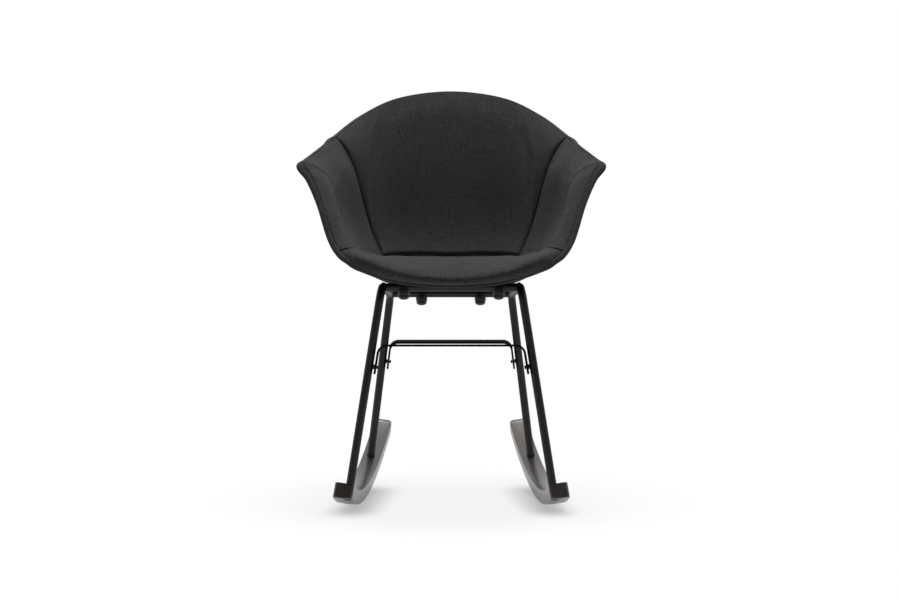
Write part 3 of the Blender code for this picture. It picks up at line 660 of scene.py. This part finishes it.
def makeWallPad(name, tFirst, tLast, columns, rows, node):
    isArm = "Arm" in name
    piece, a, b = addGrid(name, columns, rows)
    a, b = crowded(a), crowded(b)
    t = tFirst + seamTurn + (tLast - tFirst - 2 * seamTurn) * a
    near, side = foldTurn(t)
    foot = seatEdge(t) + seatFacts["footGap"]
    r = foot + (1 - foot) * b
    wide = runLength(bucketPoint(np.linspace(tFirst, tLast, 300), np.full(300, padFacts["middle"])))[-1]
    tall = runLength(bucketPoint(np.full(100, (tFirst + tLast) / 2), np.linspace(0.45, 1, 100)))[-1]
    fromSide = np.minimum(a, 1 - a)
    fromRim = (1 - b) * tall
    notch = np.where(near < armMiddle, 0.0, padFacts["seamNotch"])
    sides = 1 - notch * (1 - crest(fromSide * wide, padFacts["seamRoll"]))
    foot = crest((b + padFacts["footLift"]) * tall, padFacts["footRoll"])
    edge = padFacts["edge"]
    # the cloth of the back is tucked in flat behind the seat
    if not isArm:
        foot = crest(np.clip(b - padFacts["tuck"], 0, 1), padFacts["tuckRise"])
        edge = padFacts["tuckHigh"] + (edge - padFacts["tuckHigh"]) * foot
    toRim = np.clip(fromRim / padFacts["rimRoll"], 0, 1)
    high = edge + (padFacts["full"] - edge) * sides * foot * toRim * (2 - toRim)
    upCrown = padFacts["crownFrom"] + (1 - padFacts["crownFrom"]) * b
    high = high + padFacts["crown"] * np.sin(math.pi * a) * np.sin(math.pi * upCrown) * foot
    # a groove along the front edges, which ends at the arm tips
    groove = (1 - crest(fromRim, padFacts["grooveRoll"])) * (1 - eased(near, *padFacts["grooveTurns"]))
    high = high - padFacts["groove"] * groove
    belly, bellyPlace, bellyWidth = padFacts["armBelly" if isArm else "backBelly"]
    inMiddle = crest(fromSide, padFacts["bellyEnd"]) * foot * ramp(near, *padFacts["bellyTurns"])
    high = high + belly * inMiddle * bell(b, bellyPlace, bellyWidth)
    # a soft roll along the front of the arms
    roll = bell(fromRim, padFacts["rollPlace"], padFacts["rollWidth"]) * ramp(near, *padFacts["rollTurns"])
    high = high + padFacts["roll"] * roll * sides
    if isArm:
        # towards the front corner an arm comes down to the seat's end
        corner = bucketFacts["corner"]
        seatEnd = seatHeight(np.full(len(t), float(corner)), np.ones(len(t)), b)
        seatEnd = seatEnd - seatFacts["endDrop"] * (1 - crest(fromSide * wide, seatFacts["endRoll"]))
        high = high + (seatEnd - high) * ramp(near, corner + padFacts["meet"], corner) ** 2
        # its side of the back seam is turned in over a welt
        fromBack = np.where(near > armMiddle, fromSide * wide, 1.0)
        high = high + padFacts["welt"] * bell(fromBack, padFacts["weltPlace"], padFacts["weltWidth"])
    clothUv(piece, t, r, (tFirst, tLast), padFacts["middle"])
    base = bucketPoint(t, r) + edgeOut(t) * overRim(b)[:, None]
    sewn = (fromSide < 0.001) | (b < 0.001) | (b > 0.999)
    fillPad(piece, base, bucketNormal(t, r), high, sewn, padFacts["cap"], clothPlain, node)


corner, shoulder = bucketFacts["corner"], bucketFacts["shoulder"]
makeWallPad("rightArmCushion", corner, shoulder, 80, 64, "right_arm_pad")
makeWallPad("leftArmCushion", 2 * half - shoulder, 2 * half - corner, 80, 64, "left_arm_pad")
makeWallPad("backCushion", shoulder, 2 * half - shoulder, 110, 72, "back_pad")
print("arm and back cushions made")


# seat cushion: a round pad that runs on over the front lip

def ringPlace(a, b):  # a square grid laid out as rings: turn and share out from the pole
    ring = np.maximum(np.abs(a), np.abs(b))
    safe = np.maximum(ring, 1e-9)
    front = corner * a / safe
    right = corner + (shoulder - corner) * (b / safe + 1) / 2
    back = shoulder + (half - shoulder) * (1 - a / safe)
    left = 2 * half - right
    t = np.select([b <= -ring + 1e-9, a >= ring - 1e-9, b >= ring - 1e-9], [front, right, back], left)
    return t, ring


def signedTurn(t):  # minus on the left half
    t = np.mod(t, 2 * half)
    return np.where(t > half + 1e-9, t - 2 * half, t)


def makeSeat():
    cells = seatFacts["cells"]
    lipGrid, c, d = addGrid("seatLip", cells, seatFacts["lipCells"])
    disc, a, b = addGrid("seatCushion", cells, cells)
    tDisc, inner = ringPlace(2 * a - 1, 2 * b - 1)
    t = np.concatenate([tDisc, corner * (2 * c - 1)])
    inner = np.concatenate([inner, np.ones(len(c))])
    lip = np.concatenate([np.zeros(len(a)), d])
    joinInto(disc, [lipGrid])
    edge = seatEdge(t)
    writePoints(disc, bucketPoint(t, edge * inner + (1 - edge) * lip))
    # each point keeps its measures while the two grids grow together
    measures = {"turn": t, "inner": inner, "lip": lip}
    for key, values in measures.items():
        disc.data.attributes.new(key, "FLOAT", "POINT").data.foreach_set("value", values.astype(np.float32))
    cleanUp(disc)
    for key in measures:
        measures[key] = readAll(disc.data.attributes[key].data, "value", 1, np.float32).astype(float)
        disc.data.attributes.remove(disc.data.attributes[key])
    t, inner, lip = measures.values()
    near, side = foldTurn(t)
    edge = seatEdge(t)
    behind = near > corner - 1e-4
    onLip = lip > 1e-4
    atCrease = behind & ~onLip & (inner > 0.999)
    r = edge * inner + (1 - edge) * lip - seatFacts["footGap"] * atCrease
    t = np.where(behind & onLip, np.sign(signedTurn(t)) * (corner - seamTurn), t)
    hang = 1 + seatFacts["hang"] * bell(near, seatFacts["hangPlace"], seatFacts["hangWidth"])
    base = bucketPoint(t, r) + edgeOut(t) * (overRim(lip) * hang)[:, None]
    normal = bucketNormal(t, r)
    normal[inner < 1e-4] = (0, 0, 1)
    # the crease round the seat and the ends of the front roll tuck down
    creaseGap = np.where(behind, (1 - inner) * edge * seatFacts["creaseRun"], 1.0)
    rollGap = np.where(onLip, (corner - near) * seatFacts["endRun"], 1.0)
    drop = seatFacts["seamDrop"] * (1 - crest(creaseGap, seatFacts["roll"]))
    drop = drop + seatFacts["endDrop"] * (1 - crest(rollGap, seatFacts["endRoll"]))
    fill = seatFacts["fill"] * (1 - inner) ** seatFacts["fillPower"]
    high = np.maximum(seatHeight(t, inner, lip) - drop + fill, seatFacts["least"])
    dropUv(disc)
    layUv(disc, "cloth", base[:, 0], base[:, 1] - lip * seatFacts["lipCloth"])
    layUv(disc, "place", near, r)
    sewn = np.where(onLip, (lip > 0.999) | behind, atCrease)
    fillPad(disc, base, normal, high, sewn, seatFacts["cap"], clothSeat, "seat_pad")


makeSeat()
print("seat cushion made")


# rim: the cloth turned over the shell's edge, a soft plain bead; the turns are a place and a reach

rimFacts = {"columns": 336, "rows": 30, "square": 2.4, "face": 0.20, "clothWide": 0.034,
            "inset": 0.012, "padInset": 0.45, "insetShares": (0.35, 0.60),
            "cornerSlack": 0.0012, "cornerTurns": (2.5, 2.5), "tipSlack": 0.0012, "tipTurns": (8, 2),
            "shoulderBump": 0.0024, "bumpTurns": (10.78, 0.20)}


def makeRim():
    piece, a, b = addGrid("rimBead", rimFacts["columns"], rimFacts["rows"])
    t = 2 * half * a
    one = np.ones(len(t))
    near, side = foldTurn(t)
    slack = rimFacts["cornerSlack"] * tent(near, *rimFacts["cornerTurns"])
    slack = slack + rimFacts["tipSlack"] * tent(near, *rimFacts["tipTurns"])
    slack = slack + rimFacts["shoulderBump"] * bell(near, *rimFacts["bumpTurns"], 4)
    low = -bucketFacts["wall"] - bucketFacts["air"] - bucketFacts["cover"]
    tall = bucketFacts["air"] + padFacts["edge"] - low
    # a flat inner face against the pads, then a half round over the edge
    face = rimFacts["face"]
    angle = math.pi / 2 - math.pi * ramp(b, face, 1)
    power = 2 / rimFacts["square"]
    across = 0.5 + 0.5 * np.sign(np.sin(angle)) * np.abs(np.sin(angle)) ** power
    across = np.where(b < face, b / face, across)
    # behind the pads' edge above, close to the cover's edge below
    deeper = rimFacts["padInset"] - rimFacts["inset"]
    inset = rimFacts["inset"] + deeper * ramp(across, *rimFacts["insetShares"])
    along = inset + (1 - inset) * np.clip(np.cos(angle), 0, 1) ** power
    points = bucketPoint(t, one) + edgeOut(t) * (along * (bucketFacts["rim"] + slack))[:, None]
    writePoints(piece, points + bucketNormal(t, one) * (low + tall * across)[:, None])
    dropUv(piece)
    tLine = np.linspace(0, 2 * half, 900)
    lengths = runLength(bucketPoint(tLine, np.ones(900)))
    layUv(piece, "cloth", np.interp(t, tLine, lengths), b * rimFacts["clothWide"])
    cleanUp(piece)
    roundOff(piece)
    dress(piece, clothPlain, "upholstery_fabric", "edge_binding")


makeRim()


# what the frame's pieces share; a mount has its half spacing and its place along the frame

tubeFacts = {
    "radius": 0.008, "bend": 0.028, "front": -0.160, "rear": 0.150, "height": 0.4410, "drop": 0.0330,
    "halfWidth": 0.1345, "lean": 0.156, "toe": 0.048, "footFront": -0.187, "footRear": 0.200,
    "footLevel": 0.060, "rearInset": 0.0081, "room": 0.0005, "railStop": 0.55,
    "bead": 0.0021, "beadSteps": 48, "ripple": 0.00025, "ripples": 9,
}
rockerFacts = {
    "radius": 0.600, "width": 0.038, "depth": 0.030, "front": -0.204, "rear": 0.340, "halfTrack": 0.1951,
    "toe": 0.1008, "lean": 0.141, "land": 0.016, "edge": 0.003, "end": 0.008, "facet": 2.8, "steps": 72,
    "socket": 0.010, "boltRecess": 0.0085, "boltHole": 0.0035, "headHole": 0.0070, "cut": 0.06,
    "facing": 0.7, "grainOnTop": 0.1, "grainOnSide": 0.3, "grainOnEnd": 0.7,
}
mountFacts = {"front": (0.0923, bucketFacts["railPlace"]), "rear": (0.0602, 0.120)}
shiftY = Vector((0, chairShift, 0))
slopeDown = math.atan2(tubeFacts["drop"], tubeFacts["rear"] - tubeFacts["front"])
rise = Vector((0, math.sin(slopeDown), math.cos(slopeDown)))


def railLevel(y):
    return tubeFacts["height"] - (y - tubeFacts["front"]) * math.tan(slopeDown)


def mountPoint(end, side):
    across, y = mountFacts[end]
    return Vector((side * across, y + chairShift, railLevel(y)))


def addRod(name, start, end, radius, sides=32):
    pickNone()
    run = end - start
    bpy.ops.mesh.primitive_cylinder_add(vertices=sides, radius=radius, depth=run.length)
    rod = named(name)
    stand(rod, (start + end) / 2, run)
    return rod


def cutWith(piece, cutters, solver="EXACT"):
    for k, cutter in enumerate(cutters):
        cut = piece.modifiers.new(f"cut{k}", "BOOLEAN")
        cut.operation = "DIFFERENCE"
        cut.solver = solver
        cut.object = cutter
    applyAll(piece)
    for cutter in cutters:
        bpy.data.objects.remove(cutter)


def easeEdges(piece, width):
    ease = piece.modifiers.new("ease", "BEVEL")
    ease.width = width
    ease.segments = 3
    ease.limit_method = "ANGLE"
    ease.angle_limit = math.radians(50)
    applyAll(piece)


# outer cover: the cloth over the outside of the shell, with holes for the four bosses

coverFacts = {"cells": 96, "bossHole": 0.0090, "cut": 0.05, "threadRow": 0.8, "threadTurn": 9.0}


def makeCover():
    cells = coverFacts["cells"]
    piece, a, b = addGrid("outerCloth", cells, cells)
    t, r = ringPlace(2 * a - 1, 2 * b - 1)
    base = bucketPoint(t, r)
    normal = bucketNormal(t, r)
    normal[r < 1e-4] = (0, 0, 1)
    turn = signedTurn(t)
    tLine = np.linspace(-half, half, 800)
    along = runLength(bucketPoint(np.mod(tLine, 2 * half), np.full(800, coverFacts["threadRow"])))
    rLine = np.linspace(0, 1, 200)
    up = runLength(bucketPoint(np.full(200, coverFacts["threadTurn"]), rLine))
    dropUv(piece)
    layUv(piece, "cloth", np.interp(turn, tLine, along), np.interp(r, rLine, up))
    # each half of the cloth keeps its own thread count at the back
    corners, sizes = faceCorners(piece.data), faceSizes(piece.data)
    faces = np.repeat(np.arange(len(sizes)), sizes)
    faceSide = np.sign(np.bincount(faces, base[corners, 0]) / sizes)[faces]
    layer = piece.data.uv_layers["cloth"]
    pairs = readAll(layer.data, "uv", 2, np.float32)
    backSeam = np.abs(np.abs(turn[corners]) - half) < 1e-4
    pairs[backSeam, 0] = np.where(faceSide[backSeam] > 0, along[-1], along[0])
    layer.data.foreach_set("uv", pairs.ravel())
    inside = -bucketFacts["wall"] - bucketFacts["air"]
    thicken(piece, base, normal, inside - bucketFacts["cover"], inside)
    points = [mountPoint(end, side) for end in mountFacts for side in (1, -1)]
    through = rise * coverFacts["cut"]
    cutWith(piece, [addRod("bossHole", point, point + through, coverFacts["bossHole"]) for point in points])
    smooth(piece, 50)
    dress(piece, clothPlain, "upholstery_fabric", "outer_cover")


makeCover()
print("rim and outer cover made")


# bent tubes: two side frames and two rails, with weld beads where they meet

def filleted(points, radius, steps=14):
    path = [points[0]]
    for before, bend, after in zip(points, points[1:], points[2:]):
        a = (before - bend).normalized()
        b = (after - bend).normalized()
        halfAngle = a.angle(b) / 2
        centre = bend + (a + b).normalized() * radius / math.sin(halfAngle)
        start = bend + a * radius / math.tan(halfAngle) - centre
        end = bend + b * radius / math.tan(halfAngle) - centre
        turn = start.angle(end)
        for k in range(steps + 1):
            place = turn * k / steps
            path.append(centre + (start * math.sin(turn - place) + end * math.sin(place)) / math.sin(turn))
    return path + [points[-1]]


def addLine(name, points, closed=False):
    curve = bpy.data.curves.new(name, "CURVE")
    curve.dimensions = "3D"
    spline = curve.splines.new("POLY")
    spline.points.add(len(points) - 1)
    for place, point in zip(spline.points, points):
        place.co = (*point, 1)
    spline.use_cyclic_u = closed
    piece = bpy.data.objects.new(name, curve)
    scene.collection.objects.link(piece)
    return piece


def toMesh(piece):
    pick(piece)
    bpy.ops.object.convert(target="MESH")
    piece.data.name = piece.name
    cleanUp(piece)
    return piece


def addTube(name, points, radius, sides=32, closed=False):
    piece = addLine(name, points, closed)
    piece.data.bevel_depth = radius
    piece.data.bevel_resolution = sides // 2 - 2
    piece.data.use_fill_caps = not closed
    return toMesh(piece)


def framePoint(side, y, z):
    x = tubeFacts["halfWidth"] + tubeFacts["lean"] * (tubeFacts["height"] - z)
    return Vector((side * (x + tubeFacts["toe"] * (tubeFacts["front"] - y)), y, z))


class RockerPlane:  # one rocker's own directions and the centre of its arc
    def __init__(self, side):
        self.side = side
        self.along = Vector((-side * rockerFacts["toe"], 1, 0)).normalized()
        self.out = Vector((side, rockerFacts["toe"], rockerFacts["lean"])).normalized()
        self.up = (self.out.cross(self.along) * side).normalized()
        sagitta = rockerFacts["radius"] * (1 - math.cos(math.radians(rockerFacts["facet"]) / 2))
        land = (rockerFacts["land"] - rockerFacts["width"] / 2) * self.out.z
        lowest = Vector((side * rockerFacts["halfTrack"], 0, -land - sagitta * self.up.z))
        self.centre = lowest + self.up * rockerFacts["radius"]

    def point(self, angle, radius):
        return self.centre + (self.along * math.sin(angle) - self.up * math.cos(angle)) * radius

    def landing(self, start, direction):  # where a leg meets the top of the bar
        low, high = 0.0, 1.0
        for step in range(50):
            middle = (low + high) / 2
            arm = start + direction * middle - self.centre
            if (arm - self.out * arm.dot(self.out)).length < rockerFacts["radius"] - rockerFacts["depth"]:
                low = middle
            else:
                high = middle
        return start + direction * low


planes = {"right": RockerPlane(1), "left": RockerPlane(-1)}
legs = {}
for name, plane in planes.items():
    tops = {"front": framePoint(plane.side, tubeFacts["front"], tubeFacts["height"]),
            "rear": framePoint(plane.side, tubeFacts["rear"], tubeFacts["height"] - tubeFacts["drop"])}
    feet = (("front", tubeFacts["footFront"], 0.0), ("rear", tubeFacts["footRear"], tubeFacts["rearInset"]))
    for end, y, inset in feet:
        aim = framePoint(plane.side, y, tubeFacts["footLevel"]) - Vector((plane.side * inset, 0, 0))
        down = (aim - tops[end]).normalized()
        foot = plane.landing(tops[end], down) + down * rockerFacts["socket"]
        legs[end, name] = (tops[end], foot, down)
    path = [legs["front", name][1], tops["front"], tops["rear"], legs["rear", name][1]]
    path = [point + shiftY for point in filleted(path, tubeFacts["bend"])]
    tube = addTube(f"{name}SideTube", path, tubeFacts["radius"])
    smooth(tube, 50)
    dress(tube, powderCoat, "frame_black", f"{name}_side_frame")


def weldRing(point, side):  # round a rail, where it meets the side tube
    reach = tubeFacts["radius"]
    ring = []
    for k in range(tubeFacts["beadSteps"]):
        angle = 2 * math.pi * k / tubeFacts["beadSteps"]
        inward = abs(math.cos(angle)) * reach + tubeFacts["ripple"] * math.sin(tubeFacts["ripples"] * angle)
        ring.append(point + Vector((-side * inward, math.cos(angle) * reach, math.sin(angle) * reach)))
    return ring


for end, (across, y) in mountFacts.items():
    left, right = [framePoint(side, y, railLevel(y)) + shiftY for side in (-1, 1)]
    stop = Vector((tubeFacts["radius"] * tubeFacts["railStop"], 0, 0))
    rail = addTube(f"{end}CrossTube", [left + stop, right - stop], tubeFacts["radius"])
    rings = [weldRing(left, -1), weldRing(right, 1)]
    joinInto(rail, [addTube("weldBead", ring, tubeFacts["bead"], 10, True) for ring in rings])
    smooth(rail, 50)
    dress(rail, powderCoat, "frame_black", f"{end}_rail")
print("tubes made")


# flat strap braces, bent down at both ends and screwed to the legs

strapFacts = {"thick": 0.004, "wide": 0.024, "bend": 0.018, "standoff": 0.0026, "ease": 0.0009, "tab": 0.056,
              "screw": 0.042, "front": 0.3293, "rear": 0.3097, "screwHole": 0.0025}
keepOff = tubeFacts["radius"] + strapFacts["standoff"] + strapFacts["thick"] / 2

for end in ("front", "rear"):
    ends = []
    for name, side in (("right", 1), ("left", -1)):
        top, foot, down = legs[end, name]
        inward = Vector((-side, 0, 0))
        inward = (inward - down * inward.dot(down)).normalized()
        crown = top + down * ((top.z - strapFacts[end]) / -down.z)
        ends.append((crown + shiftY, down, inward))
    bends = [crown + inward * keepOff for crown, down, inward in ends]
    tabs = [bend + down * strapFacts["tab"] for bend, (crown, down, inward) in zip(bends, ends)]
    down = ends[0][1]
    flat = Vector((0, down.z, -down.y)).normalized()
    turn = Matrix((Vector((1, 0, 0)), flat.cross((1, 0, 0)), flat)).transposed()
    middle = (bends[0] + bends[1]) / 2
    path = filleted([tabs[0], *bends, tabs[1]], strapFacts["bend"], 18)
    strap = addLine(f"{end}StrapBar", [turn.transposed() @ (p - middle) for p in path])
    strap.data.extrude = strapFacts["wide"] / 2
    toMesh(strap)
    strap.matrix_world = Matrix.Translation(middle) @ turn.to_4x4()
    settle(strap)
    thick = strap.modifiers.new("thick", "SOLIDIFY")
    thick.thickness = strapFacts["thick"]
    thick.offset = 0
    thick.use_even_offset = True
    easeEdges(strap, strapFacts["ease"])
    cutters = []
    for crown, down, inward in ends:
        axis = crown + down * strapFacts["screw"]
        cutters.append(addRod("strapHole", axis, axis + inward * 2 * keepOff, strapFacts["screwHole"]))
    cutWith(strap, cutters)
    smooth(strap, 40)
    dress(strap, mattCoat, "frame_black", f"{end}_strap")
print("straps made")


# rockers: a rectangular bar spun along its arc, with rounded ends

def spin(piece, steps, angle, centre, axis):
    mode("EDIT")
    bpy.ops.mesh.select_all(action="SELECT")
    bpy.ops.mesh.spin(steps=steps, angle=angle, center=centre, axis=axis)
    mode("OBJECT")
    cleanUp(piece)


def localPlace(plane, points):  # angle along the arc, height in the bar, place across it
    arm = points - np.array(plane.centre + shiftY)
    along, up, across = [arm @ np.array(way) for way in (plane.along, plane.up, plane.out)]
    return np.arctan2(along, -up), rockerFacts["radius"] - np.hypot(along, up), across


def roundEnds(bar, plane, first, last):  # the four edges that stand at the ends of the bar
    angle, height, across = localPlace(plane, readPoints(bar))
    mode("EDIT")
    bpy.ops.mesh.select_mode(type="EDGE")
    bpy.ops.mesh.select_all(action="DESELECT")
    mode("OBJECT")
    for edge in bar.data.edges:
        i, j = edge.vertices
        atEnd = max(min(abs(angle[k] - first), abs(angle[k] - last)) for k in (i, j)) < 1e-3
        edge.select = bool(atEnd and abs(angle[i] - angle[j]) < 1e-3 and abs(across[i] - across[j]) < 0.001)
    mode("EDIT")
    bpy.ops.mesh.bevel(offset=rockerFacts["end"], segments=5, affect="EDGES")
    mode("OBJECT")


def layGrain(bar, plane):  # along the bend, on the sides up the bar, on the ends across it
    mesh = bar.data
    angle, height, across = localPlace(plane, readPoints(bar))
    along = angle * (rockerFacts["radius"] - rockerFacts["depth"] / 2)
    corners, sizes = faceCorners(mesh), faceSizes(mesh)
    facing = np.repeat(readAll(mesh.polygons, "normal", 3), sizes, axis=0)
    sideways = np.abs(facing @ np.array(plane.out)) > rockerFacts["facing"]
    tangent = np.outer(np.cos(angle[corners]), plane.along) + np.outer(np.sin(angle[corners]), plane.up)
    endways = np.abs(np.sum(facing * tangent, axis=1)) > rockerFacts["facing"]
    u = np.where(endways, height[corners] + rockerFacts["grainOnEnd"], along[corners])
    onTop = across[corners] + rockerFacts["grainOnTop"]
    v = np.where(sideways, height[corners] + rockerFacts["grainOnSide"], onTop)
    dropUv(bar)
    layer = mesh.uv_layers.new(name="grain")
    layer.data.foreach_set("uv", np.stack([u, v], axis=1).astype(np.float32).ravel())


def makeRocker(name, plane):
    radius, width, depth, land = [rockerFacts[key] for key in ("radius", "width", "depth", "land")]
    first, last = [math.asin(rockerFacts[key] / radius) for key in ("front", "rear")]
    planed = land * plane.out.z / plane.up.z
    top = [(-width / 2, depth), (width / 2, depth)]
    section = top + [(width / 2, 0), (land - width / 2, 0), (-width / 2, planed)]
    start = plane.point(first, radius)
    inward = (plane.centre - start).normalized()
    pickNone()
    bpy.ops.mesh.primitive_circle_add(vertices=len(section), fill_type="NGON")
    bar = named(f"{name}RockerBar")
    writePoints(bar, [start + shiftY + plane.out * s + inward * h for s, h in section])
    spin(bar, rockerFacts["steps"], last - first, plane.centre + shiftY, plane.up.cross(plane.along))
    roundEnds(bar, plane, first, last)
    easeEdges(bar, rockerFacts["edge"])
    cutters = []
    for end in ("front", "rear"):
        top, foot, down = legs[end, name]
        foot = foot + shiftY
        beyond, room = down * rockerFacts["cut"], tubeFacts["room"]
        head = foot + down * (depth - rockerFacts["socket"] - rockerFacts["boltRecess"])
        cutters.append(addRod("legSocket", foot - beyond, foot + down * room, tubeFacts["radius"] + room))
        cutters.append(addRod("boltHole", foot - down * 0.01, foot + beyond, rockerFacts["boltHole"], 20))
        cutters.append(addRod("headHole", head, foot + beyond, rockerFacts["headHole"], 24))
    cutWith(bar, cutters, "MANIFOLD")
    layGrain(bar, plane)
    smooth(bar, 35)
    dress(bar, stainedAsh, "rocker_wood", f"{name}_rocker")


for name, plane in planes.items():
    makeRocker(name, plane)
print("rockers made")


# knobs under the seat: saddle below the rail and the domed cap on it

knobFacts = {"wide": 0.023, "deep": 0.0165, "floor": 0.0105, "ease": 0.001, "room": 0.0070, "bore": 0.0035,
             "gap": 0.0005, "bevel": 0.0004, "top": 0.0016, "round": 0.0014, "capInset": 0.0008,
             "capTurn": 0.0001, "capSide": 0.0012, "dome": 0.0074, "domePower": 0.95,
             "domeSteps": 10, "cut": 0.05, "sides": 48}


def turnedPiece(name, profile, place):  # a closed profile of radius and height, spun round Z
    pickNone()
    bpy.ops.mesh.primitive_circle_add(vertices=len(profile))
    piece = named(name)
    writePoints(piece, [(radius, 0, height) for radius, height in profile])
    spin(piece, knobFacts["sides"], 2 * math.pi, (0, 0, 0), (0, 0, 1))
    stand(piece, place, rise)
    return piece


def saddleProfile():
    wide, deep, bore, room = knobFacts["wide"] / 2, knobFacts["deep"], knobFacts["bore"], knobFacts["room"]
    bevel, ease = knobFacts["bevel"], knobFacts["ease"]
    outside = [(bore, -ease), (wide - bevel, -ease), (wide, -knobFacts["top"]),
               (wide, knobFacts["round"] - deep), (wide - bevel, bevel - deep),
               (wide - knobFacts["round"], -deep)]
    return outside + [(room, -deep), (room, -knobFacts["floor"]), (bore, -knobFacts["floor"])]


def capProfile():
    wide = knobFacts["wide"] / 2 - knobFacts["capInset"]
    plug, gap, side = knobFacts["room"] - knobFacts["gap"], knobFacts["gap"], knobFacts["capSide"]
    profile = [(0, knobFacts["ease"]), (plug, knobFacts["ease"]), (plug, 0), (wide - knobFacts["capInset"], 0),
               (wide - knobFacts["capTurn"], -gap)]
    for k in range(knobFacts["domeSteps"]):
        angle = math.pi / 2 * k / knobFacts["domeSteps"]
        low = side + (knobFacts["dome"] - side) * math.sin(angle)
        profile.append((wide * math.cos(angle) ** knobFacts["domePower"], -low))
    return profile + [(0, -knobFacts["dome"])]


for end in ("front", "rear"):
    left, right = [mountPoint(end, side) for side in (-1, 1)]
    past = Vector((knobFacts["cut"], 0, 0))
    for name, point in (("left", left), ("right", right)):
        saddle = turnedPiece(f"{end}{name.title()}Saddle", saddleProfile(), point)
        bed = tubeFacts["radius"] + tubeFacts["room"]
        cutWith(saddle, [addRod("railBed", left - past, right + past, bed, knobFacts["sides"])])
        smooth(saddle, 40)
        dress(saddle, nylon, "fixing_black", f"{end}_{name}_saddle")
        under = point - rise * (knobFacts["deep"] + knobFacts["gap"])
        knob = turnedPiece(f"{end}{name.title()}Cap", capProfile(), under)
        smooth(knob, 40)
        dress(knob, nylon, "fixing_black", f"{end}_{name}_cap")
print("knobs made")


# kept CAD pieces take the finish of their slot

keptFinishes = {"shell_plastic": shellPlastic, "fixing_black": nylon, "fastener_steel": zinc,
                "insert_brass": brass, "frame_black": powderCoat}
for subpart in frame["record"]["subparts"]:
    finish = keptFinishes.get(subpart["material_slot"])
    if "strap_screw" in subpart["node"] or "rivet_nut" in subpart["node"]:
        finish = blackOxide
    if finish is not None:
        for slot in nodes[subpart["node"]].material_slots:
            slot.material = finish


# floor, backdrop and soft studio light

stageFacts = {
    "size": 60, "floor": (0.93, 0.925, 0.915, 1), "outer": (0.20, 0.20, 0.20, 1), "outerReach": (0.40, 0.90),
    "paper": 0.88, "fadeReach": (0.24, 0.55), "room": 0.10, "roomSlope": 2.2, "roomLow": 0.75,
    "dome": 0.27, "domeSlope": 2.0, "domeLow": 0.1,
    "contact": 0.46, "contactReach": 0.075, "contactInward": 0.018, "contactEnds": (0.12, 0.26),
}
lampFacts = [
    {"name": "overheadSoftbox", "place": (0.20, 0.22, 6.0), "aim": (0, 0, 0.4),
     "size": (2.2, 1.8), "watts": 190},
    {"name": "frontFill", "place": (0.9, -3.2, 1.5), "aim": (0, 0, 0.45),
     "size": (1.8, 1.8), "watts": 0.5},
]


def rayOf(tree, *kinds):  # one for a ray of any of these kinds
    rays = tree.nodes.new("ShaderNodeLightPath")
    first, *others = [Wire(tree, rays.outputs[f"Is {kind} Ray"]) for kind in kinds]
    for other in others:
        first = first.most(other)
    return first


def makeFloor():
    floor = Finish("paleFloor")
    x, y, z = floor.parts(floor.objectPlace())
    away = (x * x + y * y).root()
    share = floor.spread(away, *stageFacts["fadeReach"], stageFacts["paper"], 1.0)
    # the shadow stays strongest along the two rockers
    lengthways = y - chairShift
    track = rockerFacts["halfTrack"] - stageFacts["contactInward"]
    gap = abs(abs(x) + lengthways * rockerFacts["toe"] - track)
    beside = floor.spread(gap, 0.0, stageFacts["contactReach"], 1.0, 0.0)
    beside = beside * floor.spread(abs(lengthways), *stageFacts["contactEnds"], 1.0, 0.0)
    share = (share - beside * stageFacts["contact"]) * rayOf(floor.tree, "Camera", "Glossy", "Transmission")
    outward = floor.spread(away, *stageFacts["outerReach"])
    colour = floor.blend(outward, stageFacts["floor"], stageFacts["outer"])
    matt = floor.node("BsdfDiffuse", {}, {"Color": colour})
    white = floor.node("Emission", {}, {"Color": (1, 1, 1, 1), "Strength": 1.0})
    mixed = floor.node("MixShader", {}, {0: share, 1: matt, 2: white})
    output = floor.tree.nodes.new("ShaderNodeOutputMaterial")
    feed(floor.tree, output.inputs[0], mixed)
    pickNone()
    bpy.ops.mesh.primitive_plane_add(size=stageFacts["size"])
    plane = named("paleFloor")
    plane.data.materials.append(floor.material)


def makeRoom():  # white behind and at the sides, darker on the camera's side for reflections
    world = bpy.data.worlds.new("paleRoom")
    scene.world = world
    world.use_nodes = True
    tree = world.node_tree
    place = tree.nodes.new("ShaderNodeTexCoord")
    split = tree.nodes.new("ShaderNodeSeparateXYZ")
    tree.links.new(place.outputs["Generated"], split.inputs[0])
    ahead, upward = [Wire(tree, split.outputs[axis]) for axis in ("Y", "Z")]
    dome = (upward * stageFacts["domeSlope"] + stageFacts["domeLow"]).most(0.0).least(1.0) * stageFacts["dome"]
    room = (ahead * stageFacts["roomSlope"] + stageFacts["roomLow"]).most(stageFacts["room"]).least(1.0)
    seen, mirrored = rayOf(tree, "Camera", "Transmission"), rayOf(tree, "Glossy")
    back = tree.nodes["Background"]
    back.inputs["Color"].default_value = (1, 1, 1, 1)
    feed(tree, back.inputs["Strength"], seen + (1 - seen) * (mirrored * room + (1 - mirrored) * dome))


makeFloor()
makeRoom()
for facts in lampFacts:
    bpy.ops.object.light_add(type="AREA", location=facts["place"])
    lamp = bpy.context.object
    lamp.name = facts["name"]
    lamp.data.shape = "RECTANGLE"
    lamp.data.size, lamp.data.size_y = facts["size"]
    lamp.data.energy = facts["watts"]
    lamp.rotation_euler = (Vector(facts["aim"]) - Vector(facts["place"])).to_track_quat("-Z", "Y").to_euler()
scene.view_settings.view_transform = "Standard"
print("stage set")
